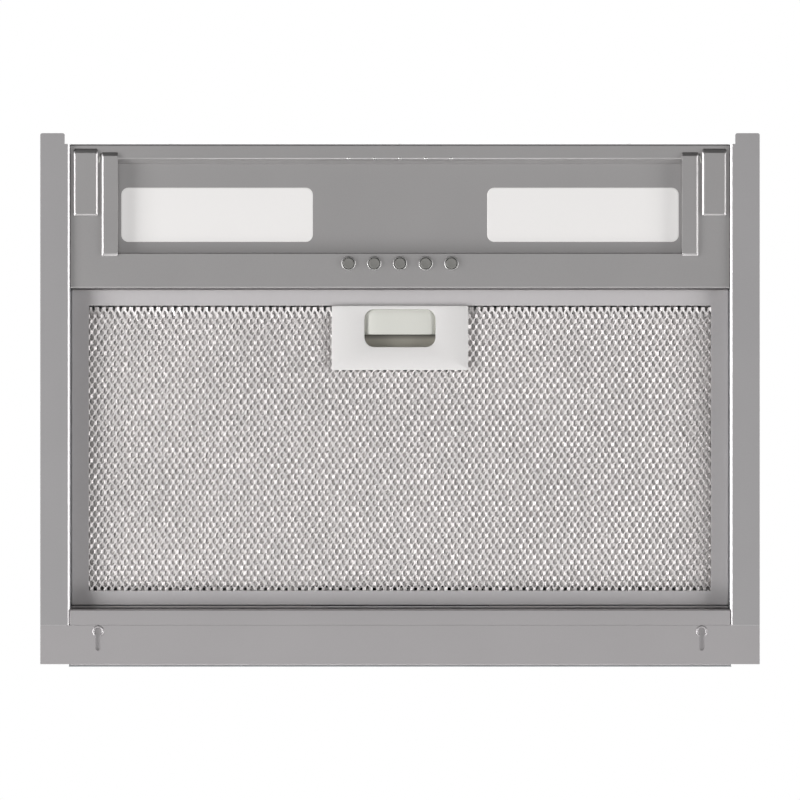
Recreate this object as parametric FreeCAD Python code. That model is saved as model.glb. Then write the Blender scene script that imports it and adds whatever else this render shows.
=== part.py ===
import FreeCAD, Part
import math
import os

# Built-in range hood insert that fits in the floor of a wall cabinet, in millimetres.
# X runs across the width, Y from the front edge to the rear edge, Z up.
# The origin is the middle of the underside: the hood stands on its flange at z = 0.

# Overall sizes and sheet
overall_width = 534.0
overall_depth = 396.2
sheet = 1.0
bend_radius = 0.6
side_clearance = 0.5
tiny = 0.1

# Side rails, rear strip and the band in front of it
flange_width = 21.0
ear_length = 8.0
ear_inset = 1.9
ear_overlap = 2.0
rail_height = 45.0
rail_rivet_drop = 8.0
rail_rivet_from_front = 40.0
rail_rivet_from_seam = 30.0
rear_band_to_rear = 42.9
strip_seam_to_rear = 31.0
seam_gap = 0.2
strip_upstand_height = 20.0
band_upstand_height = 50.0
strip_upstand_gap = 0.3
strip_tab_reach = 6.0
strip_tab_hold = 4.0
strip_tab_inset = 4.0
keyhole_from_side = 43.0
keyhole_radius = 3.4
keyhole_slot_width = 3.8
keyhole_slot_length = 12.4
keyhole_from_seam = 4.6
keyhole_relief = 3.0

# Lower casing
casing_bottom_z = 6.0
tray_height = 62.0
cabinet_hole_radius = 2.25
cabinet_hole_z = 52.0
cabinet_hole_spacing = 220.0

# Light and control panel, measured from its front face
panel_depth = 107.5
panel_z = 3.0
recess_depth = 6.0
recess_start = 9.9
slope_length = 4.8
rear_slope_length = 2.6
recess_flat_length = 64.2
panel_front_height = 30.0
panel_rear_height = 24.0
panel_side_height = 20.0
panel_rivet_drop = 6.0
panel_rivet_from_end = 73.5
pan_joint = 3.0

# Raised boxes and strips on the panel
raised_z = 1.0
corner_box_margin = 1.9
corner_box_width = 18.3
corner_box_start = 3.4
corner_box_length = 50.2
strip_to_box_gap = 2.6
end_strip_width = 12.3
end_strip_start = 6.1
end_strip_length = 77.2
pressed_corner = 1.5
pressed_edge = 0.9
clip_width = 1.6
clip_length = 7.0
clip_depth = 0.8
clip_corner = 0.5
clip_from_strip_end = 1.0
cheek_gap = 0.3

# Lamps
lens_length = 142.4
lens_width = 40.2
lens_corner = 5.3
lens_end_margin = 2.1
lens_centre_from_front = 52.7
lens_clearance = 0.1
lens_flange = 3.0
lens_flange_thickness = 1.4
lens_proud = 0.3
lamp_housing_margin = 5.0
lamp_housing_wall = 1.5
lamp_housing_height = 15.5
led_board_thickness = 1.6
led_board_margin = 5.0
led_count = 6
led_size = 5.0
led_height = 1.0

# Push buttons
button_count = 5
button_pitch = 19.1
button_from_front = 88.6
button_radius = 4.25
button_protrusion = 2.4
button_travel = 2.0
button_edge = 0.5
bezel_clearance = 0.3
bezel_flange_radius = 5.4
bezel_flange_height = 0.8
bezel_sleeve_radius = 4.95
bezel_top_z = 6.0
button_flange_radius = 5.2
button_flange_height = 1.2
stem_radius = 1.6
stem_top_z = 16.0
stem_room = 1.0
switch_beam_z = 13.0
switch_beam_height = 12.0
switch_block_depth = 11.0
switch_leg = 6.0
switch_end_gap = 1.5
switch_board_inset = 2.0
switch_board_side_inset = 0.5
spring_wire = 0.35
spring_radius = 2.25
indicator_radius = 1.8
indicator_height = 0.9
indicator_edge = 0.4
indicator_hole_margin = 0.3
indicator_along_slope = 1.7

# Grease filter
filter_z = 11.0
filter_thickness = 9.0
filter_skin = 0.8
filter_corner = 1.5
filter_side_gap = 1.5
filter_front_gap = 1.1
filter_rear_gap = 2.6
frame_lip = 12.0
rear_lip = 10.7
mesh_sheet = 1.5
mesh_fit = 0.1
mesh_columns = 19
mesh_rows = 14
mesh_gap_share = 0.62
mesh_well_margin = 1.0
pivot_radius = 1.5
pivot_fit = 0.05
pivot_from_rear = 2.6
pivot_above_underside = 2.5
pivot_inside = 8.0
pivot_room = 1.0
pivot_end_gap = 0.2

# Filter latch
latch_half_width = 50.8
latch_length = 47.9
latch_overlap = 1.5
latch_thickness = 1.6
latch_plate_corner = 0.8
latch_slot_half = 26.5
latch_slot_width = 28.2
latch_slot_margin = 2.6
latch_slot_corner = 8.0
cup_half_width = 46.5
cup_wall = 1.0
cup_rear_margin = 4.0
cup_lid_fit = 0.1
latch_clearance = 0.3
latch_travel = 6.0
slide_z = 13.5
slide_thickness = 3.0
grip_length = 18.5
grip_radius = 30.0
grip_depth = 2.0
grip_recess = 0.5
pocket_half = 24.0
pocket_width = 8.6
tongue_half = 8.0
tongue_thickness = 2.0
tongue_short = 0.4
latch_spring_radius = 2.2
latch_spring_wire = 0.5
latch_spring_x = 36.0
spring_pocket_half = 3.2
spring_pocket_length = 16.0

# Blower housing
housing_width = 340.0
housing_depth = 230.0
housing_height = 178.0
housing_rear_margin = 8.0
housing_flange = 12.0
inlet_margin = 14.0
inlet_corner = 10.0

# Scroll and fan wheel, whose shaft lies along X
wheel_radius = 62.0
blade_depth = 11.0
wheel_half_length = 60.0
wheel_ring = 3.0
hub_thickness = 2.0
hub_wall = 5.0
blade_count = 36
blade_thickness = 1.0
blade_edge_gap = 0.5
disc_bite = 0.3
blade_bow = 3.5
blade_sweep = 2.1
scroll_clearance = 16.0
scroll_step = 10.0
scroll_wall = 2.0
scroll_side_gap = 6.0
scroll_floor_gap = 3.0
inlet_step = 7.0

# Motor
motor_side_gap = 11.0
motor_length = 56.0
motor_wall = 3.0
motor_can_depth = 6.0
motor_hub_gap = 8.0
shaft_radius = 4.0
shaft_fit = 0.05
bush_radius = 8.0
bush_length = 8.0
rotor_gap = 1.0
rotor_end_gap = 6.0
shaft_end_gap = 1.0
winding_depth = 11.0
spider_thickness = 3.0
spider_ring_width = 8.0
spider_arm_width = 10.0
spider_arm_overlap = 2.0
spider_arms = 3
spider_first_angle = 90.0
spider_plate_step = 8.0
capacitor_radius = 15.0
capacitor_length = 52.0
capacitor_z = 95.0
capacitor_edge = 1.5
strap_thickness = 1.5
strap_width = 12.0
strap_foot = 12.0
strap_clearance = 0.1

# Outlet
collar_radius = 75.0
collar_wall = 2.0
collar_height = 45.0
collar_flange = 12.0
collar_flange_height = 2.0
collar_screw_count = 4
flap_height = 8.0
flap_thickness = 1.2
flap_clearance = 1.5
flap_pin_radius = 1.2
flap_pin_fit = 0.05
flap_pin_offset = 3.5
flap_knuckle_radius = 2.6
knuckle_end_gap = 1.5
ledge_width = 3.5
ledge_gap = 0.3
ledge_thickness = 1.6

# Electrics
control_box_length = 110.0
control_box_depth = 62.0
control_box_height = 30.0
control_from_side = 120.0
control_box_wall = 1.5
control_board_drop = 12.0
board_gap = 1.0
standoff_radius = 3.0
standoff_inset = 8.0
transformer_size = (26.0, 30.0, 14.0)
transformer_place = (-40.0, -16.0)
relay_size = (18.0, 15.0, 12.0)
relay_place = (-4.0, -12.0)
terminals_size = (10.0, 40.0, 10.0)
terminals_place = (24.0, -20.0)
driver_length = 80.0
driver_depth = 30.0
driver_height = 20.0
driver_corner = 2.0
gland_radius = 9.0
gland_neck_radius = 7.0
gland_bore = 4.0
gland_height = 10.0
gland_nut_height = 4.0
gland_edge = 1.5
gland_from_side = 30.0
gland_from_front = 40.0
lead_radius = 2.0
lead_bend = 12.0
switch_lead_run = 50.0
link_lead_drop = 5.5
control_from_front = 22.0

# Fasteners
screw_radius = 2.0
screw_head_radius = 4.0
screw_head_height = 2.4
screw_length = 6.0
hole_fit = 0.05
rivet_radius = 1.6
rivet_head_radius = 3.0
rivet_head_height = 1.2

# Places worked out from the sizes above
half_width = overall_width / 2
half_depth = overall_depth / 2
casing_half = half_width - flange_width
casing_inner = casing_half - sheet
tray_top_z = tray_height - sheet
panel_front = -half_depth + ear_length
panel_rear = panel_front + panel_depth
panel_half = casing_inner - side_clearance
panel_back_z = panel_z + sheet
recess_z = panel_z + recess_depth
recess_back_z = recess_z + sheet
recess_flat_start = panel_front + recess_start + slope_length
recess_flat_end = recess_flat_start + recess_flat_length
recess_end = recess_flat_end + rear_slope_length
box_outer = panel_half - corner_box_margin
box_inner = box_outer - corner_box_width
strip_outer = box_inner - strip_to_box_gap
strip_inner = strip_outer - end_strip_width
recess_half = (strip_outer + strip_inner) / 2
lens_x = strip_inner - lens_end_margin - lens_length / 2
lens_y = panel_front + lens_centre_from_front
button_y = panel_front + button_from_front
band_front = half_depth - rear_band_to_rear
seam_y = half_depth - strip_seam_to_rear
keyhole_x = half_width - keyhole_from_side
filter_half = casing_inner - filter_side_gap
filter_front = panel_rear + filter_front_gap
filter_rear = band_front - filter_rear_gap
filter_top = filter_z + filter_thickness
pivot_y = filter_rear - pivot_from_rear
pivot_z = filter_z + pivot_above_underside
window_front = filter_front + frame_lip + filter_skin
window_rear = filter_rear - rear_lip
window_half = filter_half - frame_lip
latch_front = window_front - latch_overlap
latch_rear = latch_front + latch_length
slot_front = latch_front + latch_slot_margin
slot_rear = slot_front + latch_slot_width
cup_front = slot_front - cup_wall
cup_rear = latch_rear - cup_rear_margin
cup_top = filter_top - filter_skin - mesh_fit
housing_rear = half_depth - housing_rear_margin
housing_front = housing_rear - housing_depth
housing_half = housing_width / 2
housing_top = tray_height + housing_height
wheel_inner_radius = wheel_radius - blade_depth
scroll_radius = wheel_radius + scroll_clearance
inlet_radius = wheel_radius - inlet_step
motor_radius = wheel_inner_radius - motor_side_gap
winding_radius = motor_radius - motor_can_depth
winding_bore = winding_radius - winding_depth
rotor_radius = winding_bore - rotor_gap
spider_plate_radius = motor_radius - spider_plate_step
fan_y = (housing_front + housing_rear) / 2
fan_z = tray_height + scroll_floor_gap + scroll_wall + scroll_radius
scroll_half = wheel_half_length + scroll_side_gap
collar_y = fan_y + scroll_radius + scroll_step - collar_radius
flap_z = housing_top + flap_height
motor_end = -hub_thickness / 2 - motor_hub_gap
motor_start = motor_end - motor_length
control_x = casing_inner - control_from_side
control_y = panel_front + sheet + control_from_front + control_box_depth / 2
box_bottom_z = tray_top_z - control_box_height


def vec(x, y, z):
    return FreeCAD.Vector(x, y, z)


def box(x0, y0, z0, x1, y1, z1):
    return Part.makeBox(x1 - x0, y1 - y0, z1 - z0, vec(x0, y0, z0))


def rod(radius, start, axis, length):
    return Part.makeCylinder(radius, length, start, axis)


def tube(outer, inner, start, axis, length):
    return rod(outer, start, axis, length).cut(rod(inner, start, axis, length))


def mirrored(shape):
    return shape.mirror(vec(0, 0, 0), vec(1, 0, 0))


def save(name, shape):
    # Each sub-part is written as one file of its closed solids.
    solids = shape.Solids
    result = solids[0] if len(solids) == 1 else Part.makeCompound(solids)
    result.exportStep("parts/" + name + ".step")
    print(name, len(solids), round(sum(solid.Volume for solid in solids)))


def rounded_wire(points, radii, place):
    # A closed or open outline whose inner points are rounded by tangent arcs.
    closed = points[0] == points[-1]
    corners = points[:-1] if closed else points
    count = len(corners)
    starts = []
    ends = []
    middles = []
    for index in range(count):
        here = vec(corners[index][0], corners[index][1], 0)
        radius = radii[index]
        if radius == 0:
            starts.append(here)
            ends.append(here)
            middles.append(None)
            continue
        before = corners[index - 1]
        after = corners[(index + 1) % count]
        back = (vec(before[0], before[1], 0) - here).normalize()
        ahead = (vec(after[0], after[1], 0) - here).normalize()
        half_angle = back.getAngle(ahead) / 2
        reach = radius / math.tan(half_angle)
        inward = (back + ahead).normalize()
        centre = here + inward * (radius / math.sin(half_angle))
        starts.append(here + back * reach)
        ends.append(here + ahead * reach)
        middles.append(centre - inward * radius)
    edges = []
    for index in range(count):
        if middles[index] is not None:
            arc = Part.Arc(place(starts[index]), place(middles[index]), place(ends[index]))
            edges.append(arc.toShape())
        following = (index + 1) % count
        if following == 0 and not closed:
            break
        if (ends[index] - starts[following]).Length > 1e-6:
            edges.append(Part.makeLine(place(ends[index]), place(starts[following])))
    return Part.Wire(edges)


def flat_outline(points, radii, z):
    return rounded_wire(points + [points[0]], radii, lambda p: vec(p.x, p.y, z))


def rounded_plate(x0, y0, x1, y1, z0, z1, corner):
    points = [(x0, y0), (x1, y0), (x1, y1), (x0, y1)]
    face = Part.Face(flat_outline(points, [corner] * 4, z0))
    return face.extrude(vec(0, 0, z1 - z0))


def shifted_lines(path, distance):
    # The path moved to its left by a distance, with its corners kept sharp.
    shifted = []
    last = len(path) - 1
    for index in range(last + 1):
        normals = []
        if index > 0:
            run = vec(path[index][0] - path[index - 1][0], path[index][1] - path[index - 1][1], 0)
            run.normalize()
            normals.append(vec(-run.y, run.x, 0))
        if index < last:
            run = vec(path[index + 1][0] - path[index][0], path[index + 1][1] - path[index][1], 0)
            run.normalize()
            normals.append(vec(-run.y, run.x, 0))
        bisector = normals[0] + normals[-1]
        bisector.normalize()
        reach = distance / bisector.dot(normals[0])
        shifted.append((path[index][0] + bisector.x * reach, path[index][1] + bisector.y * reach))
    return shifted


def bent_sheet(path, place, run):
    # A folded sheet: its section lies to the left of the path, with rounded folds.
    other = shifted_lines(path, sheet)
    near = [0]
    far = [0]
    for index in range(1, len(path) - 1):
        ahead = (path[index + 1][0] - path[index][0], path[index + 1][1] - path[index][1])
        behind = (path[index][0] - path[index - 1][0], path[index][1] - path[index - 1][1])
        turns_left = behind[0] * ahead[1] - behind[1] * ahead[0] > 0
        near.append(bend_radius + sheet if turns_left else bend_radius)
        far.append(bend_radius if turns_left else bend_radius + sheet)
    near.append(0)
    far.append(0)
    outline = path + other[::-1]
    wire = rounded_wire(outline + [outline[0]], near + far[::-1], place)
    return Part.Face(wire).extrude(run)


def sheet_along_x(path, x0, x1):
    # The path's points are (y, z).
    return bent_sheet(path, lambda p: vec(x0, p.x, p.y), vec(x1 - x0, 0, 0))


def sheet_along_y(path, y0, y1):
    # The path's points are (x, z).
    return bent_sheet(path, lambda p: vec(p.x, y0, p.y), vec(0, y1 - y0, 0))


def screw(place, axis):
    # A pan head above the place and a shank below it.
    head = rod(screw_head_radius, place, axis, screw_head_height)
    head = head.makeFillet(screw_head_height / 3, [head.Edges[0]])
    return head.fuse(rod(screw_radius, place - axis * screw_length, axis, screw_length))


def rivet(place, axis, grip):
    # A shank through the grip with a head at each end.
    head = rod(rivet_head_radius, place, axis, rivet_head_height)
    tail = rod(rivet_head_radius, place - axis * (grip + rivet_head_height), axis, rivet_head_height)
    return head.fuse(rod(rivet_radius, place - axis * grip, axis, grip)).fuse(tail)


def rail_rivet_places():
    along = (panel_front + rail_rivet_from_front, 0.0, seam_y - rail_rivet_from_seam)
    return [(y, rail_height - rail_rivet_drop) for y in along]


def cabinet_hole_places():
    return [-cabinet_hole_spacing / 2, cabinet_hole_spacing / 2]


def make_side_rail():
    # Right rail: a flange on which the hood hangs and an upstand riveted to the casing.
    path = [(casing_half, rail_height), (casing_half, 0), (half_width, 0)]
    rail = sheet_along_y(path, panel_front, seam_y)
    ear_side = casing_half + sheet + ear_inset
    ear_points = [
        (ear_side, panel_front + ear_overlap),
        (ear_side, -half_depth),
        (half_width, -half_depth),
        (half_width, panel_front + ear_overlap),
    ]
    ear = Part.Face(flat_outline(ear_points, [0, pressed_corner, pressed_corner, 0], 0))
    rail = rail.fuse(ear.extrude(vec(0, 0, sheet)))
    for y, z in rail_rivet_places():
        rail = rail.cut(rod(rivet_radius, vec(casing_half, y, z), vec(1, 0, 0), sheet))
    return rail.removeSplitter()


def make_rear_cross_member():
    # The band behind the filter and the wall that closes the filter's recess.
    path = [(band_front, band_upstand_height), (band_front, 0), (seam_y, 0)]
    return sheet_along_x(path, -casing_inner, casing_inner)


def make_rear_strip():
    # The strip behind the seam, its folded lip and a tab that lies on the band in front of it.
    front = seam_y + seam_gap
    hold = front + strip_tab_hold
    lip = half_depth - sheet
    strip = box(-half_width, front, 0, half_width, lip - sheet, sheet)
    path = [(hold, 0), (lip, 0), (lip, strip_upstand_height)]
    upstand_half = casing_inner - strip_upstand_gap
    strip = strip.fuse(sheet_along_x(path, -upstand_half, upstand_half))
    tab_front = seam_y - strip_tab_reach
    tab_half = casing_inner - strip_tab_inset
    strip = strip.fuse(box(-tab_half, tab_front, sheet, tab_half, hold, 2 * sheet))
    keyhole_y = seam_y + keyhole_from_seam
    slot_end = keyhole_y + keyhole_slot_length
    slot_half = keyhole_slot_width / 2
    clear = keyhole_radius + keyhole_relief
    up = vec(0, 0, 1)
    for x in (-keyhole_x, keyhole_x):
        strip = strip.cut(box(x - clear, tab_front, sheet, x + clear, hold, 2 * sheet))
        strip = strip.cut(rod(keyhole_radius, vec(x, keyhole_y, 0), up, sheet))
        strip = strip.cut(box(x - slot_half, keyhole_y, 0, x + slot_half, slot_end, sheet))
        strip = strip.cut(rod(slot_half, vec(x, slot_end, 0), up, sheet))
    return strip.removeSplitter()


def make_lower_casing():
    # Four walls of folded sheet, open above and below.
    front = panel_front + sheet
    outer = box(-casing_half, front, casing_bottom_z, casing_half, half_depth, tray_top_z)
    inner_front = front + sheet
    inner = box(-casing_inner, inner_front, casing_bottom_z, casing_inner, half_depth - sheet, tray_top_z)
    casing = outer.cut(inner)
    apron = box(-casing_half, half_depth - sheet, sheet, casing_half, half_depth, casing_bottom_z)
    casing = casing.fuse(apron)
    across = vec(1, 0, 0)
    for side in (-1, 1):
        start = min(side * casing_inner, side * casing_half)
        for y, z in rail_rivet_places():
            casing = casing.cut(rod(rivet_radius, vec(start, y, z), across, sheet))
        for y in cabinet_hole_places():
            casing = casing.cut(rod(cabinet_hole_radius, vec(start, y, cabinet_hole_z), across, sheet))
        hole = rod(pivot_radius + pivot_fit, vec(start, pivot_y, pivot_z), across, sheet)
        casing = casing.cut(hole)
    for x in panel_rivet_places():
        casing = casing.cut(rod(rivet_radius, vec(x, front, panel_rivet_z()), vec(0, 1, 0), sheet))
    return casing.removeSplitter()


def panel_rivet_places():
    outer = panel_half - panel_rivet_from_end
    return [-outer, 0.0, outer]


def panel_rivet_z():
    return panel_front_height - panel_rivet_drop


def housing_screw_places():
    x = housing_half + housing_flange / 2
    y_step = housing_depth / 3
    places = []
    for side in (-1, 1):
        for step in (0.5, 1.5, 2.5):
            places.append((side * x, housing_front + y_step * step))
    return places


def gland_place():
    return (-casing_inner + gland_from_side, panel_front + gland_from_front)


def make_tray_top():
    # The lid of the lower casing, with the air opening under the blower.
    lid = box(-casing_half, panel_front + sheet, tray_top_z, casing_half, half_depth, tray_height)
    opening = rounded_plate(
        -housing_half + inlet_margin,
        housing_front + inlet_margin,
        housing_half - inlet_margin,
        housing_rear - inlet_margin,
        tray_top_z,
        tray_height,
        inlet_corner,
    )
    lid = lid.cut(opening)
    for x, y in housing_screw_places():
        lid = lid.cut(rod(screw_radius + hole_fit, vec(x, y, tray_top_z), vec(0, 0, 1), sheet))
    x, y = gland_place()
    return lid.cut(rod(gland_neck_radius, vec(x, y, tray_top_z), vec(0, 0, 1), sheet))


def make_light_panel():
    # A folded panel with a pressed recess for the lamps and a row of button holes.
    front = panel_front
    flat_path = [
        (panel_rear, panel_rear_height),
        (panel_rear, panel_z),
        (front, panel_z),
        (front, panel_front_height),
    ]
    flat_path = flat_path[::-1]
    panel = sheet_along_x(flat_path, -panel_half, panel_half)
    cutter = box(-recess_half, front + recess_start, panel_z, recess_half, recess_end, panel_back_z)
    panel = panel.cut(cutter)
    pan_path = [
        (front + recess_start - pan_joint, panel_z),
        (front + recess_start, panel_z),
        (recess_flat_start, recess_z),
        (recess_flat_end, recess_z),
        (recess_end, panel_z),
        (recess_end + pan_joint, panel_z),
    ]
    panel = panel.fuse(sheet_along_x(pan_path, -recess_half, recess_half))
    end_points = [
        (front + recess_start, panel_z),
        (recess_flat_start, recess_back_z),
        (recess_flat_end, recess_back_z),
        (recess_end, panel_z),
    ]
    for side in (-1, 1):
        start = recess_half if side > 0 else -recess_half - sheet
        wire = rounded_wire(end_points + [end_points[0]], [0] * 4, lambda p: vec(start, p.x, p.y))
        panel = panel.fuse(Part.Face(wire).extrude(vec(sheet, 0, 0)))
        edge = side * panel_half
        inside = side * (panel_half - sheet)
        low, high = min(edge, inside), max(edge, inside)
        upstand = box(low, front + 2 * sheet, panel_back_z, high, panel_rear - sheet, panel_side_height)
        panel = panel.fuse(upstand)
        lens_hole = rounded_plate(
            side * lens_x - lens_length / 2 - lens_clearance,
            lens_y - lens_width / 2 - lens_clearance,
            side * lens_x + lens_length / 2 + lens_clearance,
            lens_y + lens_width / 2 + lens_clearance,
            recess_z,
            recess_back_z,
            lens_corner + lens_clearance,
        )
        panel = panel.cut(lens_hole)
    for x in button_places():
        hole = rod(bezel_sleeve_radius + hole_fit, vec(x, button_y, panel_z), vec(0, 0, 1), sheet)
        panel = panel.cut(hole)
        margin = indicator_hole_margin
        panel = panel.cut(indicator_pin(x, sheet + 2 * margin, -sheet - margin))
    for x in panel_rivet_places():
        panel = panel.cut(rod(rivet_radius, vec(x, panel_front, panel_rivet_z()), vec(0, 1, 0), sheet))
    keeper_low = slide_z + (slide_thickness - tongue_thickness) / 2 - latch_clearance
    keeper_high = keeper_low + tongue_thickness + 2 * latch_clearance
    keeper_half = tongue_half + latch_clearance
    keeper = box(-keeper_half, panel_rear - sheet, keeper_low, keeper_half, panel_rear, keeper_high)
    return panel.cut(keeper).removeSplitter()


def pressed_cover(x0, x1, y0, y1):
    # A shallow pressed box, open towards the panel, with rounded edges below.
    outer = box(x0, y0, raised_z, x1, y1, panel_z)
    uprights = [edge for edge in outer.Edges if edge.BoundBox.ZLength > pressed_edge]
    outer = outer.makeFillet(pressed_corner, uprights)
    rounded = [edge for edge in outer.Edges if edge.BoundBox.ZMax < raised_z + tiny]
    outer = outer.makeFillet(pressed_edge, rounded)
    inner = box(x0 + sheet, y0 + sheet, raised_z + sheet, x1 - sheet, y1 - sheet, panel_z)
    return outer.cut(inner)


def make_corner_box():
    y0 = panel_front + corner_box_start
    return pressed_cover(box_inner, box_outer, y0, y0 + corner_box_length)


def make_end_strip():
    # The strip closes the end of the lamp recess, so its inner side reaches the recess floor.
    y0 = panel_front + end_strip_start
    y1 = y0 + end_strip_length
    cover = pressed_cover(strip_inner, strip_outer, y0, y1)
    points = [
        (panel_front + recess_start + cheek_gap, panel_z),
        (recess_flat_start + cheek_gap, recess_z - cheek_gap),
        (recess_flat_end - cheek_gap, recess_z - cheek_gap),
        (recess_end - cheek_gap, panel_z),
    ]
    wire = rounded_wire(points + [points[0]], [0] * 4, lambda p: vec(strip_inner, p.x, p.y))
    cheek = Part.Face(wire).extrude(vec(sheet, 0, 0))
    start = panel_front + recess_start + cheek_gap
    web = box(strip_inner, start, raised_z + sheet, strip_inner + sheet, recess_end - cheek_gap, panel_z)
    return cover.fuse(web).fuse(cheek).removeSplitter()


def make_panel_clips():
    # A small spring tongue in the gap between each box and strip.
    x = (strip_outer + box_inner) / 2
    y0 = panel_front + end_strip_start + clip_from_strip_end
    low = panel_z - clip_depth
    clip = box(x - clip_width / 2, y0, low, x + clip_width / 2, y0 + clip_length, panel_z)
    edges = [edge for edge in clip.Edges if edge.BoundBox.ZLength > clip_depth / 2]
    clip = clip.makeFillet(clip_corner, edges)
    return Part.makeCompound([clip, mirrored(clip)])


def make_lens(side):
    x = side * lens_x
    body = rounded_plate(
        x - lens_length / 2,
        lens_y - lens_width / 2,
        x + lens_length / 2,
        lens_y + lens_width / 2,
        recess_z - lens_proud,
        recess_back_z,
        lens_corner,
    )
    flange = rounded_plate(
        x - lens_length / 2 - lens_flange,
        lens_y - lens_width / 2 - lens_flange,
        x + lens_length / 2 + lens_flange,
        lens_y + lens_width / 2 + lens_flange,
        recess_back_z,
        recess_back_z + lens_flange_thickness,
        lens_corner + lens_flange,
    )
    return body.fuse(flange).removeSplitter()


def lamp_housing_top():
    return recess_back_z + lamp_housing_height


def make_lamp_housing(side):
    x = side * lens_x
    half_length = lens_length / 2 + lamp_housing_margin
    half_side = lens_width / 2 + lamp_housing_margin
    wall = lamp_housing_wall
    top = lamp_housing_top()
    corner = lens_corner + lamp_housing_margin
    outer = rounded_plate(
        x - half_length,
        lens_y - half_side,
        x + half_length,
        lens_y + half_side,
        recess_back_z,
        top,
        corner,
    )
    inner = rounded_plate(
        x - half_length + wall,
        lens_y - half_side + wall,
        x + half_length - wall,
        lens_y + half_side - wall,
        recess_back_z,
        top - wall,
        corner - wall,
    )
    return outer.cut(inner)


def led_board_z():
    return lamp_housing_top() - lamp_housing_wall - led_board_thickness


def make_led_board(side):
    half_length = lens_length / 2 - led_board_margin
    half_side = lens_width / 2 - led_board_margin
    x = side * lens_x
    low = led_board_z()
    high = low + led_board_thickness
    return box(x - half_length, lens_y - half_side, low, x + half_length, lens_y + half_side, high)


def make_led_chips(side):
    pitch = (lens_length - 2 * led_board_margin) / led_count
    z = led_board_z()
    chips = []
    for index in range(led_count):
        x = side * lens_x + (index - (led_count - 1) / 2) * pitch
        half = led_size / 2
        chips.append(box(x - half, lens_y - half, z - led_height, x + half, lens_y + half, z))
    return Part.makeCompound(chips)


def button_places():
    return [(index - (button_count - 1) / 2) * button_pitch for index in range(button_count)]


def make_button_bezels():
    # A ring round each button, held in its hole in the panel.
    up = vec(0, 0, 1)
    bore = button_radius + bezel_clearance
    rings = []
    for x in button_places():
        low = vec(x, button_y, panel_z - bezel_flange_height)
        flange = rod(bezel_flange_radius, low, up, bezel_flange_height)
        sleeve = rod(bezel_sleeve_radius, vec(x, button_y, panel_z), up, bezel_top_z - panel_z)
        hole = rod(bore, vec(x, button_y, 0), up, bezel_top_z)
        rings.append(flange.fuse(sleeve).cut(hole).removeSplitter())
    return Part.makeCompound(rings)


def button_flange_z():
    return bezel_top_z + bezel_clearance


def make_button(x):
    # A cap, a flange that keeps it in its bezel and a stem that works the switch.
    up = vec(0, 0, 1)
    low = panel_z - button_protrusion
    flange_z = button_flange_z()
    cap = rod(button_radius, vec(x, button_y, low), up, flange_z - low)
    rim = [edge for edge in cap.Edges if edge.BoundBox.ZMax < low + tiny]
    cap = cap.makeFillet(button_edge, rim)
    flange = rod(button_flange_radius, vec(x, button_y, flange_z), up, button_flange_height)
    stem_z = flange_z + button_flange_height
    stem = rod(stem_radius, vec(x, button_y, stem_z), up, stem_top_z - stem_z)
    return cap.fuse(flange).fuse(stem).removeSplitter()


def make_button_spring(x):
    # A sleeve that holds the space of the return spring round the stem.
    low = button_flange_z() + button_flange_height
    outer = spring_radius + spring_wire
    inner = spring_radius - spring_wire
    return tube(outer, inner, vec(x, button_y, low), vec(0, 0, 1), switch_beam_z - low)


def switch_half_length():
    return (button_count - 1) / 2 * button_pitch + button_flange_radius + switch_end_gap + switch_leg


def make_switch_block():
    # A beam above the buttons that stands on two legs on the panel.
    half = switch_half_length()
    front = button_y - switch_block_depth / 2
    rear = button_y + switch_block_depth / 2
    top = switch_beam_z + switch_beam_height
    block = box(-half, front, panel_back_z, half, rear, top)
    inner = half - switch_leg
    block = block.cut(box(-inner, front, panel_back_z, inner, rear, switch_beam_z))
    depth = stem_top_z + button_travel + stem_room - switch_beam_z
    for x in button_places():
        bore = rod(stem_radius + bezel_clearance, vec(x, button_y, switch_beam_z), vec(0, 0, 1), depth)
        block = block.cut(bore)
    return block.removeSplitter()


def make_switch_board():
    half = switch_half_length() - switch_board_inset
    z = switch_beam_z + switch_beam_height
    half_side = switch_block_depth / 2 - switch_board_side_inset
    return box(-half, button_y - half_side, z, half, button_y + half_side, z + led_board_thickness)


def slope_frame():
    # A point on the recess's front slope and the direction that the slope faces.
    run = vec(0, slope_length, recess_depth)
    run.normalize()
    facing = vec(0, run.z, -run.y)
    start = vec(0, panel_front + recess_start, panel_z)
    return start + run * indicator_along_slope, facing


def indicator_pin(x, height, shift):
    point, facing = slope_frame()
    start = vec(x, point.y, point.z) + facing * shift
    return rod(indicator_radius, start, facing, height)


def make_indicator_lenses():
    # A small lens for each button, seated in the front slope of the recess.
    lenses = []
    for x in button_places():
        lens = indicator_pin(x, sheet + indicator_height, -sheet)
        far = [edge for edge in lens.Edges if len(edge.Vertexes) == 1]
        point, facing = slope_frame()
        far.sort(key=lambda edge: edge.CenterOfMass.dot(facing))
        lenses.append(lens.makeFillet(indicator_edge, [far[-1]]))
    return Part.makeCompound(lenses)


def make_filter_frame():
    # A folded channel on four sides that holds the edges of the mesh.
    skin = filter_skin
    outer = rounded_plate(
        -filter_half, filter_front, filter_half, filter_rear, filter_z, filter_top, filter_corner
    )
    cavity = box(
        -filter_half + skin,
        filter_front + skin,
        filter_z + skin,
        filter_half - skin,
        filter_rear - skin,
        filter_top - skin,
    )
    window = box(-window_half, window_front, filter_z, window_half, window_rear, filter_top)
    frame = outer.cut(cavity).cut(window)
    frame = frame.cut(tongue_clearance())
    for side in (-1, 1):
        start = min(side * filter_half, side * (filter_half - skin))
        hole = rod(pivot_radius, vec(start, pivot_y, pivot_z), vec(1, 0, 0), skin)
        frame = frame.cut(hole)
    return frame


def tongue_low():
    return slide_z + (slide_thickness - tongue_thickness) / 2


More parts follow.
